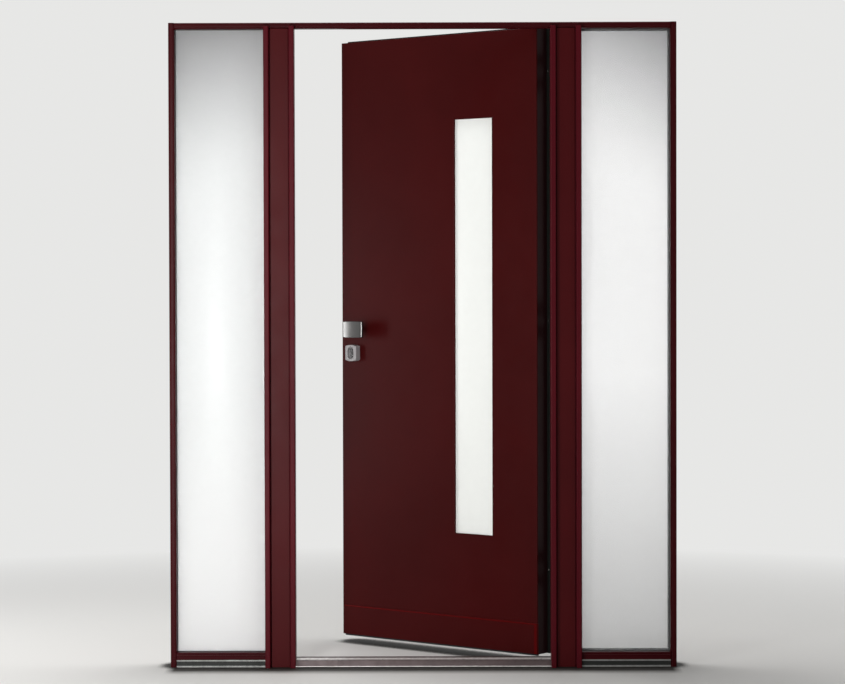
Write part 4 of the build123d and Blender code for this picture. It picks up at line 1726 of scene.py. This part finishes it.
@dataclass
class HingeFittings:
    """Screws and pin caps of the three hinges, and the screws that show in the hinge gap.

    Attributes:
        door: the door set.
        places: the hinges' names.
        screw: a screw of the hinge plates.
        frame_screws: their places on the frame half as shares of its half height.
        leaf_screws: their places on the leaf half, likewise.
        plate_thick: thickness of the plates.
        frame_screw_from_edge: from the frame half's right edge to its screws.
        leaf_screw_from_edge: from the leaf half's left edge to its screws.
        cap_radius: radius of a pin's cap.
        cap_tall: height of the cap.
        cap_sunk: how far its foot lies below the pin's end.
        gap_screw: a screw in the gap between leaf and post.
        gap_screw_inset: from the leaf's hinge edge to that screw.
        gap_screw_depth: from the lip gasket's front to its head.
    """

    door: DoorSet
    places: tuple[str, ...] = ("lower", "middle", "upper")
    screw: Screw = Screw(0.0050, 0.0014, 0.0008, 0.0021)
    frame_screws: tuple[float, ...] = (-0.72, 0.0, 0.72)
    leaf_screws: tuple[float, ...] = (-0.82, 0.82)
    plate_thick: float = 0.005
    frame_screw_from_edge: float = 0.017
    leaf_screw_from_edge: float = 0.011
    cap_radius: float = 0.0098
    cap_tall: float = 0.0045
    cap_sunk: float = 0.0005
    gap_screw: Screw = Screw(0.0042, 0.0013, 0.0015, 0.0017)
    gap_screw_inset: float = 0.0055
    gap_screw_depth: float = 0.0020

    def build(self) -> None:
        """Builds the fittings of all three hinges."""
        plates, arms, caps, gaps = Mesher(), Mesher(), Mesher(), Mesher()
        shell = self.door.box("leaf_shell")
        seal = self.door.box("lip_seal")
        for place in self.places:
            plate = self.door.box(f"{place}_hinge_frame_half")
            arm = self.door.box(f"{place}_hinge_leaf_half")
            half = (plate.high - plate.low) / 2
            height = plate.middle.z
            self.screw_row(
                plates,
                Vector((plate.right - self.frame_screw_from_edge, plate.front, height)),
                [half * share for share in self.frame_screws],
            )
            self.screw_row(
                arms,
                Vector((arm.left + self.leaf_screw_from_edge, arm.front, height)),
                [half * share for share in self.leaf_screws],
            )
            pin = self.door.pin
            self.pin_cap(caps, Vector((pin.x, pin.y, height + half)), Looking.UP)
            self.pin_cap(caps, Vector((pin.x, pin.y, height - half)), Looking.DOWN)
            centre = Vector((
                shell.right - self.gap_screw_inset, seal.front + self.gap_screw_depth, height))
            self.gap_screw.put(gaps, centre, Looking.OUTSIDE)
        steel = self.door.finishes.screw_steel
        hinge = self.door.finishes.hinge_steel
        self.door.add(plates, "hinge_plate_screws", steel, Body.FRAME, Slot.SATIN_STEEL)
        self.door.add(caps, "hinge_pin_caps", hinge, Body.FRAME, Slot.SATIN_STEEL)
        self.door.add(arms, "hinge_arm_screws", steel, Body.LEAF, Slot.SATIN_STEEL)
        self.door.add(gaps, "hinge_gap_screws", steel, Body.LEAF, Slot.SATIN_STEEL)

    def screw_row(self, mesher: Mesher, foot: Vector, rises: Sequence[float]) -> None:
        """Drives screws into a hinge plate, one over the other.

        Args:
            mesher: the mesh that they join.
            foot: the middle of the row, on the plate's front.
            rises: how far above the middle each screw sits.
        """
        for rise in rises:
            centre = foot + Vector((0.0, self.plate_thick, rise))
            self.screw.put(mesher, centre, Looking.INSIDE)

    def pin_cap(self, mesher: Mesher, end: Vector, looking: Looking) -> None:
        """Puts a domed cap on one end of a hinge pin.

        Args:
            mesher: the mesh that it joins.
            end: the end of the pin.
            looking: the direction in which the cap faces.
        """
        mesher.turned(
            [
                Ring(self.cap_radius, -self.cap_sunk),
                Ring(self.cap_radius, self.cap_tall * 0.35),
                Ring(self.cap_radius * 0.9, self.cap_tall * 0.7),
                Ring(self.cap_radius * 0.55, self.cap_tall * 0.95),
                Ring(self.cap_radius * 0.1, self.cap_tall),
            ],
            end,
            looking,
        )


@dataclass
class EdgeLock:
    """Screws of the strike plate and the lock faceplate.

    Attributes:
        door: the door set.
        screw: a countersunk screw.
        shares: the screws' heights as shares of the plate's height.
    """

    door: DoorSet
    screw: Screw = Screw(0.0042, 0.0003, 0.0008, 0.0017)
    shares: tuple[float, ...] = (0.012, 0.25, 0.62, 0.76, 0.988)

    def build(self) -> None:
        """Builds the screws on both edges."""
        steel = self.door.finishes.screw_steel
        plates = (
            ("strike_plate", "strike_screws", Looking.RIGHT, Body.FRAME),
            ("lock_faceplate", "faceplate_screws", Looking.LEFT, Body.LEAF),
        )
        for node, name, looking, body in plates:
            box = self.door.box(node)
            face = box.right if looking is Looking.RIGHT else box.left
            screws = Mesher()
            for share in self.shares:
                height = box.low + (box.high - box.low) * share
                self.screw.put(screws, Vector((face, box.middle.y, height)), looking)
            self.door.add(screws, name, steel, body, Slot.SATIN_STEEL)


@dataclass
class LeafSeals:
    """Bulb gasket round the lip and the finned sweep under the leaf.

    Attributes:
        door: the door set.
        margin: gap between the gasket and the outer panel.
        fins: where each fin starts, as a share of the sweep's depth.
        fin_wide: a fin's width, likewise.
        fin_deep: where the fins spring from, as a share of the sweep's height.
        fin_foot: how far a fin's foot lies in front of its place, likewise.
        fin_tip: half the width of a fin's tip, as a share of the fin's width.
    """

    door: DoorSet
    margin: float = 0.001
    fins: tuple[float, ...] = (0.12, 0.46, 0.80)
    fin_wide: float = 0.20
    fin_deep: float = 0.62
    fin_foot: float = 0.04
    fin_tip: float = 0.25

    def build(self) -> None:
        """Builds both seals."""
        self.bulb_gasket()
        self.finned_sweep()

    def bulb_gasket(self) -> None:
        """Builds the gasket with two bulbs and a valley between them."""
        box = self.door.box("lip_seal")
        panel = self.door.box("outer_panel")
        deep = box.back - box.front
        inner = Block(
            panel.left - self.margin,
            panel.right + self.margin,
            box.front,
            box.back,
            box.low,
            panel.high + self.margin,
        )
        profile = (
            (0.00, 1.00), (0.00, 0.60), (0.06, 0.28), (0.16, 0.06), (0.27, 0.00),
            (0.38, 0.08), (0.45, 0.30), (0.50, 0.42), (0.55, 0.30), (0.62, 0.08),
            (0.73, 0.00), (0.84, 0.06), (0.94, 0.28), (1.00, 0.60), (1.00, 1.00),
        )
        section = [(share, box.front + deep * depth) for share, depth in profile]
        gasket = Mesher()
        gasket.rim(box, inner, section, open_foot=True)
        self.door.add(
            gasket,
            "lip_gasket",
            self.door.finishes.grey_rubber,
            Body.LEAF,
            Slot.GREY_RUBBER,
            ["lip_seal"],
        )

    def finned_sweep(self) -> None:
        """Builds the sweep with three fins under a carrier."""
        box = self.door.box("bottom_sweep")
        deep = box.back - box.front
        tall = box.high - box.low
        root = box.low + tall * self.fin_deep
        outline: list[Point] = [(0.0, box.high), (0.0, root)]
        for start in self.fins:
            middle = start + self.fin_wide / 2
            outline += [
                (start - self.fin_foot, root),
                (middle - self.fin_wide * self.fin_tip, box.low),
                (middle + self.fin_wide * self.fin_tip, box.low),
                (start + self.fin_wide - self.fin_foot, root),
            ]
        outline += [(1.0, root), (1.0, box.high)]
        points = [Vector((box.left, box.front + deep * share, z)) for share, z in outline]
        sweep = Mesher()
        sweep.prism(points, Vector((box.right - box.left, 0.0, 0.0)))
        self.door.add(
            sweep,
            "finned_sweep",
            self.door.finishes.leaf_rubber,
            Body.LEAF,
            Slot.SEAL_RUBBER,
            ["bottom_sweep"],
        )


@dataclass
class PullHandle:
    """Bowed grip plate of the outside pull, its ends rounded over.

    Attributes:
        door: the door set.
        corner: radius of its corners as seen from the front.
        arch: how much its top and bottom stand out in the middle.
        bulge: how much its ends stand out in the middle.
        bow: how far its ends lie behind its middle.
        end_round: width of the rounding at its ends.
        end_sunk: depth of the roundings.
        edge_round: width of the rounding at its top and bottom.
        round_steps: facets of each rounding.
        face_rings: scales of the rings that fill its front.
    """

    door: DoorSet
    corner: float = 0.0022
    arch: float = 0.0010
    bulge: float = 0.0002
    bow: float = 0.0024
    end_round: float = 0.0075
    end_sunk: float = 0.0045
    edge_round: float = 0.0014
    round_steps: int = 6
    face_rings: tuple[float, ...] = (0.9, 0.8, 0.65, 0.5, 0.35, 0.2, 0.05)

    def build(self) -> None:
        """Builds the plate with its bowed front."""
        box = self.door.box("pull_plate")
        half_wide = (box.right - box.left) / 2
        half_tall = (box.high - box.low) / 2
        outline = arched_outline(half_wide, half_tall, self.corner, self.arch, self.bulge)
        soft = self.edge_round / 2
        wide, tall = 1 - soft / half_wide, 1 - soft / half_tall
        rows = [
            self.flat_ring(box, outline, wide, tall, box.back),
            self.flat_ring(box, outline, 1.0, 1.0, box.back - soft),
        ]
        for i in range(self.round_steps + 1):
            angle = math.pi / 2 * i / self.round_steps
            inward = 1 - math.cos(angle)
            wide = 1 - self.end_round * inward / half_wide
            tall = 1 - self.edge_round * inward / half_tall
            sunk = self.end_sunk * (1 - math.sin(angle))
            rows.append(self.bowed_ring(box, outline, wide, tall, sunk))
        for scale in self.face_rings:
            rows.append(self.bowed_ring(box, outline, scale * wide, scale * tall, 0.0))
        plate = Mesher()
        plate.loft(rows)
        self.door.add(
            plate,
            "grip_plate",
            self.door.finishes.plate_steel,
            Body.LEAF,
            Slot.SATIN_STEEL,
            ["pull_plate"],
        )

    def flat_ring(
        self, box: Block, outline: Sequence[Point], wide: float, tall: float, depth: float
    ) -> list[Vector]:
        """One ring of the plate's back.

        Args:
            box: the plate's box.
            outline: the plate's outline about its middle.
            wide: scale of the outline along X.
            tall: scale of the outline along Z.
            depth: the ring's place along Y.

        Returns:
            The ring's points.
        """
        middle = box.middle
        return [Vector((middle.x + x * wide, depth, middle.z + z * tall)) for x, z in outline]

    def bowed_ring(
        self, box: Block, outline: Sequence[Point], wide: float, tall: float, sunk: float
    ) -> list[Vector]:
        """One ring of the plate's front, further back towards the plate's ends.

        Args:
            box: the plate's box.
            outline: the plate's outline about its middle.
            wide: scale of the outline along X.
            tall: scale of the outline along Z.
            sunk: how far the ring lies behind the bowed front.

        Returns:
            The ring's points.
        """
        half_wide = (box.right - box.left) / 2
        ring = self.flat_ring(box, outline, wide, tall, box.front + sunk)
        for point, (x, _) in zip(ring, outline):
            point.y += self.bow * (x * wide / half_wide) ** 2
        return ring


@dataclass
class CylinderGuard:
    """Rim round the guard's well and the cylinder's turning plug.

    Attributes:
        door: the door set.
        well_half_wide: half the width of the well, and the radius of its ends.
        well_half_tall: half its height.
        rim_wide: width of the rim round it.
        rim_proud: how far the rim stands out.
        rim_steps: points round the rim.
        plug_radius: radius of the turning plug.
        plug_proud: how far it stands out of the cylinder.
        plug_above: its height over the middle of the guard.
        plug_steps: points round the plug.
        key_half_tall: half the height of the keyway.
        key_half_wide: half the width of the keyway.
        key_deep: depth of the keyway.
    """

    door: DoorSet
    well_half_wide: float = 0.0135
    well_half_tall: float = 0.0210
    rim_wide: float = 0.0018
    rim_proud: float = 0.0007
    rim_steps: int = 64
    plug_radius: float = 0.0068
    plug_proud: float = 0.0008
    plug_above: float = 0.008
    plug_steps: int = 64
    key_half_tall: float = 0.0042
    key_half_wide: float = 0.0009
    key_deep: float = 0.0046

    def build(self) -> None:
        """Builds the rim and the plug."""
        guard = self.door.box("lock_guard")
        self.rim(guard)
        self.plug(guard)

    def rim(self, guard: Block) -> None:
        """Builds the raised rim round the well.

        Args:
            guard: the guard's box.
        """
        middle = guard.middle
        straight = self.well_half_tall - self.well_half_wide
        section = (
            (0.0002, 0.0006),
            (0.0002, -self.rim_proud * 0.6),
            (self.rim_wide * 0.35, -self.rim_proud),
            (self.rim_wide * 0.75, -self.rim_proud * 0.8),
            (self.rim_wide, 0.0004),
        )
        rows = []
        for i in range(self.rim_steps):
            angle = math.tau * i / self.rim_steps
            at_side = i % (self.rim_steps // 2) == 0
            lift = 0.0 if at_side else math.copysign(straight, math.sin(angle))
            row = []
            for out, depth in section:
                reach = self.well_half_wide + out
                row.append(Vector((
                    middle.x + reach * math.cos(angle),
                    guard.front + depth,
                    middle.z + lift + reach * math.sin(angle),
                )))
            rows.append(row)
        rim = Mesher()
        rim.loft(rows, closed=True)
        self.door.add(
            rim, "guard_rim", self.door.finishes.guard_steel, Body.LEAF, Slot.SATIN_STEEL)

    def plug(self, guard: Block) -> None:
        """Builds the turning plug with its keyway.

        Args:
            guard: the guard's box.
        """
        barrel = self.door.box("lock_cylinder")
        centre = Vector((guard.middle.x, barrel.front, guard.middle.z + self.plug_above))
        tall, wide = self.key_half_tall, self.key_half_wide
        plug = Mesher()
        plug.turned(
            [
                Ring(self.plug_radius, -0.0004),
                Ring(self.plug_radius, self.plug_proud * 0.6),
                Ring(self.plug_radius * 0.93, self.plug_proud),
                Ring(tall * 1.1, self.plug_proud, Form.SLOT, wide * 1.3),
                Ring(tall, self.plug_proud * 0.7, Form.SLOT, wide),
                Ring(tall, -self.key_deep, Form.SLOT, wide),
                Ring(tall * 0.3, -self.key_deep - 0.0001, Form.SLOT, wide * 0.3),
            ],
            centre,
            Looking.OUTSIDE,
            steps=self.plug_steps,
        )
        self.door.add(
            plug, "cylinder_plug", self.door.finishes.cylinder_steel, Body.LEAF,
            Slot.SATIN_STEEL)


@dataclass
class InsideFurniture:
    """Collars, knurled grip and end cap on the inside lever and knob, and the trim's screws.

    Attributes:
        door: the door set.
        knob_radius: radius of the turning knob.
        grip_from_end: from the knob's end to the knurled grip.
        grip_long: length of the grip.
        grip_proud: how far the grip stands out of the knob.
        grip_steps: points round the grip.
        collar_radius: radius of the lever's collar.
        neck_radius: radius of the lever's neck.
        rose_thick: thickness of the round plate under the lever.
        smooth_steps: points round the smooth fittings.
        trim_screw: a screw of the inner glass trim.
        trim_screw_gap: distance between two of them.
        trim_flange: width of the trim's flange.
        trim_screw_share: their place across the flange, from its outer edge.
    """

    door: DoorSet
    knob_radius: float = 0.015
    grip_from_end: float = 0.004
    grip_long: float = 0.013
    grip_proud: float = 0.0006
    grip_steps: int = 160
    collar_radius: float = 0.0135
    neck_radius: float = 0.011
    rose_thick: float = 0.008
    smooth_steps: int = 48
    trim_screw: Screw = Screw(0.0034, 0.0009, 0.0008, 0.0014)
    trim_screw_gap: float = 0.35
    trim_flange: float = 0.012
    trim_screw_share: float = 0.55

    def build(self) -> None:
        """Builds the inside pieces."""
        knob = self.door.box("inside_knob")
        self.knob_grip(knob)
        self.lever_collar(knob)
        self.trim_screws()

    def knob_grip(self, knob: Block) -> None:
        """Builds the knurled grip and the cap on the knob's end.

        Args:
            knob: the knob's box.
        """
        end = Vector((knob.middle.x, knob.back, knob.middle.z))
        radius, proud = self.knob_radius, self.grip_proud
        near = self.grip_from_end
        far = near + self.grip_long
        grip = Mesher()
        grip.turned(
            [
                Ring(radius - 0.0005, -far),
                Ring(radius + proud / 2, -far, Form.KNURLED),
                Ring(radius + proud, -far + 0.0008, Form.KNURLED),
                Ring(radius + proud, -near - 0.0008, Form.KNURLED),
                Ring(radius + proud / 2, -near, Form.KNURLED),
                Ring(radius - 0.0005, -near),
            ],
            end,
            Looking.INSIDE,
            steps=self.grip_steps,
        )
        grip.turned(
            [
                Ring(radius - 0.001, -0.0003),
                Ring(radius - 0.002, 0.0006),
                Ring(radius * 0.5, 0.0009),
                Ring(radius * 0.4, 0.0003),
                Ring(radius * 0.05, 0.0002),
            ],
            end,
            Looking.INSIDE,
            steps=self.smooth_steps,
        )
        steel = self.door.finishes.turned_steel
        self.door.add(grip, "knob_grip", steel, Body.LEAF, Slot.SATIN_STEEL)

    def lever_collar(self, knob: Block) -> None:
        """Builds the collar where the lever leaves its round plate.

        Args:
            knob: the knob's box, which the lever's neck stands over.
        """
        lever = self.door.box("inside_lever")
        foot = Vector((knob.middle.x, lever.front + self.rose_thick, lever.middle.z))
        collar = Mesher()
        collar.turned(
            [
                Ring(self.collar_radius + 0.002, -0.0002),
                Ring(self.collar_radius + 0.0015, 0.0012),
                Ring(self.collar_radius, 0.0018),
                Ring(self.collar_radius, 0.0046),
                Ring(self.neck_radius + 0.0004, 0.0052),
                Ring(self.neck_radius - 0.001, 0.0052),
            ],
            foot,
            Looking.INSIDE,
            steps=self.smooth_steps,
        )
        steel = self.door.finishes.turned_steel
        self.door.add(collar, "lever_collar", steel, Body.LEAF, Slot.SATIN_STEEL)

    def trim_screws(self) -> None:
        """Builds the screws along the inner glass trim's flange."""
        trim = self.door.box("inner_glass_trim")
        screws = Mesher()
        count = max(2, round((trim.high - trim.low) / self.trim_screw_gap))
        inset = self.trim_flange * self.trim_screw_share
        for x in (trim.left + inset, trim.right - inset):
            for i in range(count):
                z = trim.low + (trim.high - trim.low) * (i + 0.5) / count
                self.trim_screw.put(screws, Vector((x, trim.back, z)), Looking.INSIDE)
        for z in (trim.low + inset, trim.high - inset):
            self.trim_screw.put(
                screws, Vector((trim.middle.x, trim.back, z)), Looking.INSIDE)
        self.door.add(
            screws,
            "inner_trim_screws",
            self.door.finishes.screw_steel,
            Body.LEAF,
            Slot.SATIN_STEEL,
        )


@dataclass
class Paintwork:
    """Finishes of the CAD nodes that stay as they are."""

    door: DoorSet

    def build(self) -> None:
        """Gives every carried-over node its finish."""
        card = self.door.finishes
        dress = self.door.dress
        sides = [side.word for side in Side]
        places = ("lower", "middle", "upper")
        dress(card.frame_paint, "head_rail")
        dress(card.cover_paint, "lock_post_cover", "hinge_post_cover")
        dress(card.frame_paint, *[f"{side}_jamb" for side in sides])
        dress(card.frame_paint, *[f"{side}_bottom_rail" for side in sides])
        dress(card.frame_paint, *[f"{side}_glazing_bead" for side in sides])
        dress(card.strip_paint, "lock_post", "hinge_post")
        dress(card.threshold_metal, "threshold")
        dress(card.sill_metal, *[f"{side}_sill" for side in sides])
        dress(card.black_rubber, *[f"{side}_glass_seal" for side in sides])
        dress(card.hinge_steel, "strike_plate")
        dress(card.hinge_steel, *[f"{place}_hinge_frame_half" for place in places])
        dress(card.hinge_steel, *[f"{place}_hinge_leaf_half" for place in places])
        dress(card.leaf_paint, "outer_panel", "inner_panel")
        dress(card.kick_paint, "kick_plate")
        dress(card.leaf_paint, "outer_glass_trim", "inner_glass_trim")
        dress(card.edge_paint, "leaf_shell")
        dress(card.lock_steel, "lock_faceplate", "lock_bolts")
        dress(card.turned_steel, "pull_neck", "inside_knob")
        dress(card.cylinder_steel, "lock_cylinder")
        dress(card.guard_steel, "lock_guard")
        dress(card.plate_steel, "inside_lever")


class Backdrop:
    """The world beyond the floor, and what each kind of ray meets there."""

    def __init__(self) -> None:
        """Starts an empty world and puts it into the scene."""
        world = bpy.data.worlds.new("studio_world")
        bpy.context.scene.world = world
        world.use_nodes = True
        self.tree = world.node_tree
        self.tree.nodes.clear()
        self.path = self.tree.nodes.new("ShaderNodeLightPath")

    def shade(self, colour: Colour, strength: float) -> bpy.types.NodeSocket:
        """One even background.

        Args:
            colour: its colour.
            strength: its strength, of which 1 shows the colour as it is.

        Returns:
            The background's socket.
        """
        made = self.tree.nodes.new("ShaderNodeBackground")
        made.inputs["Color"].default_value = (*colour, 1.0)
        made.inputs["Strength"].default_value = strength
        return made.outputs["Background"]

    def choose(
        self, ray: str, other: bpy.types.NodeSocket, seen: bpy.types.NodeSocket
    ) -> bpy.types.NodeSocket:
        """Shows one background to one kind of ray and another to the rest.

        Args:
            ray: the kind of ray, as the light path names it.
            other: what the other rays meet.
            seen: what that kind of ray meets.

        Returns:
            The socket of the choice.
        """
        mix = self.tree.nodes.new("ShaderNodeMixShader")
        self.tree.links.new(self.path.outputs[ray], mix.inputs["Fac"])
        self.tree.links.new(other, mix.inputs[1])
        self.tree.links.new(seen, mix.inputs[2])
        return mix.outputs["Shader"]

    def end(self, surface: bpy.types.NodeSocket) -> None:
        """Makes a background the world's surface."""
        output = self.tree.nodes.new("ShaderNodeOutputWorld")
        self.tree.links.new(surface, output.inputs["Surface"])


@dataclass(frozen=True)
class SoftLamp:
    """A soft rectangular lamp that the camera doesn't see.

    Attributes:
        name: the lamp's name.
        place: where it hangs.
        target: what it points at.
        size: its width and height in metres.
        power: its power in watts.
    """

    name: str
    place: Triple
    target: Triple
    size: Point
    power: float

    def hang(self) -> None:
        """Hangs the lamp in the scene."""
        data = bpy.data.lights.new(self.name, "AREA")
        data.shape = "RECTANGLE"
        data.size, data.size_y = self.size
        data.energy = self.power
        lamp = bpy.data.objects.new(self.name, data)
        aim = Vector(self.target) - Vector(self.place)
        turn = aim.to_track_quat("-Z", "Y").to_matrix().to_4x4()
        lamp.matrix_world = Matrix.Translation(Vector(self.place)) @ turn
        lamp.visible_camera = False
        bpy.context.scene.collection.objects.link(lamp)


@dataclass
class Studio:
    """Floor, backdrop, lamps and the camera that stands where the photographer stood.

    Attributes:
        floor_paint: the floor's finish.
        behind: brightness of what shows through the glass.
        fill: brightness of the even light from all round.
        floor_half: half the floor's width.
        floor_thick: its thickness.
        lamps: the lamps.
        focal_px: focal length of the photograph, in its own pixels.
        sensor: width of the camera's sensor, in millimetres.
        camera_place: where the camera stands.
        pitch: how far it looks up, in degrees.
        yaw: how far it looks to the left, in degrees.
        roll: how far it leans, in degrees.
    """

    floor_paint: FloorPaint = FloorPaint("studio_floor_paint")
    behind: float = 1.0
    fill: float = 0.17
    floor_half: float = 14.0
    floor_thick: float = 0.01
    lamps: tuple[SoftLamp, ...] = (
        SoftLamp("key_lamp", (-0.95, -2.5, 1.1), (-2.85, 0.0, 1.0), (0.45, 2.0), 68.0),
        SoftLamp("sheen_lamp", (-2.0, -9.5, 0.8), (-0.2, 0.0, 0.9), (1.6, 1.4), 148.0),
        SoftLamp("fill_lamp", (3.6, -5.0, 1.8), (0.0, 0.0, 1.0), (2.0, 2.0), 10.0),
        SoftLamp("room_lamp", (-3.0, 0.68, 0.95), (-0.1, 0.4, 1.0), (0.50, 1.4), 24.0),
        SoftLamp("top_lamp", (-0.1, 0.75, 4.2), (0.0, 0.2, 0.0), (2.0, 1.6), 105.0),
    )
    focal_px: float = 2636.17
    sensor: float = 36.0
    camera_place: Triple = (0.0414, -8.6677, 1.2436)
    pitch: float = -1.18
    yaw: float = 0.283
    roll: float = -0.14

    def build(self) -> None:
        """Builds the studio."""
        self.surroundings()
        self.floor()
        for lamp in self.lamps:
            lamp.hang()
        self.camera()
        bpy.context.scene.view_settings.view_transform = "Standard"

    def surroundings(self) -> None:
        """Sets a pale backdrop for what sees it, and a lower fill for what it lights."""
        white = (1.0, 1.0, 1.0)
        world = Backdrop()
        light = world.shade(white, self.fill)
        seen = world.shade(self.floor_paint.backdrop, 1.0)
        lit = world.choose("Is Glossy Ray", light, seen)
        lit = world.choose("Is Transmission Ray", lit, world.shade(white, self.behind))
        world.end(world.choose("Is Camera Ray", lit, seen))

    def floor(self) -> None:
        """Lays a pale floor with the door's cast and painted shadows, fading into the backdrop.
        """
        half = self.floor_half
        corners = [Vector((x, y, 0.0)) for x, y in (
            (-half, -half), (half, -half), (half, half), (-half, half))]
        sheet = Mesher()
        sheet.prism(corners, Vector((0.0, 0.0, -self.floor_thick)))
        floor = sheet.piece("studio_floor")
        floor.data.materials.append(self.floor_paint.make())
        floor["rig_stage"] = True

    def camera(self) -> None:
        """Stands the camera where a fit of its picture to the door's corners puts it."""
        data = bpy.data.cameras.new("photo_camera")
        data.sensor_width = self.sensor
        data.sensor_fit = "HORIZONTAL"
        data.lens = self.focal_px * self.sensor / PHOTO_WIDTH
        data.clip_end = 100.0
        camera = bpy.data.objects.new("photo_camera", data)
        turn = Matrix.Rotation(math.radians(self.yaw), 4, "Z")
        tilt = Matrix.Rotation(math.radians(90.0 + self.pitch), 4, "X")
        lean = Matrix.Rotation(math.radians(self.roll), 4, "Z")
        camera.matrix_world = (
            Matrix.Translation(Vector(self.camera_place)) @ turn @ tilt @ lean)
        bpy.context.scene.collection.objects.link(camera)
        bpy.context.scene.camera = camera


def main() -> None:
    """Builds the looks of the door set in order."""
    logging.basicConfig(level=logging.INFO, format="%(message)s")
    door = DoorSet()
    assemblies = (
        Studio(),
        Paintwork(door),
        Sidelight(door, Side.LEFT),
        Sidelight(door, Side.RIGHT),
        SealedUnit(door, "door_glass", door.finishes.slot_glass, Body.LEAF),
        ThresholdFittings(door),
        HingeFittings(door),
        EdgeLock(door),
        LeafSeals(door),
        PullHandle(door),
        CylinderGuard(door),
        InsideFurniture(door),
    )
    for assembly in assemblies:
        assembly.build()
        log.info("%s done", type(assembly).__name__)


if __name__ == "__main__":
    main()
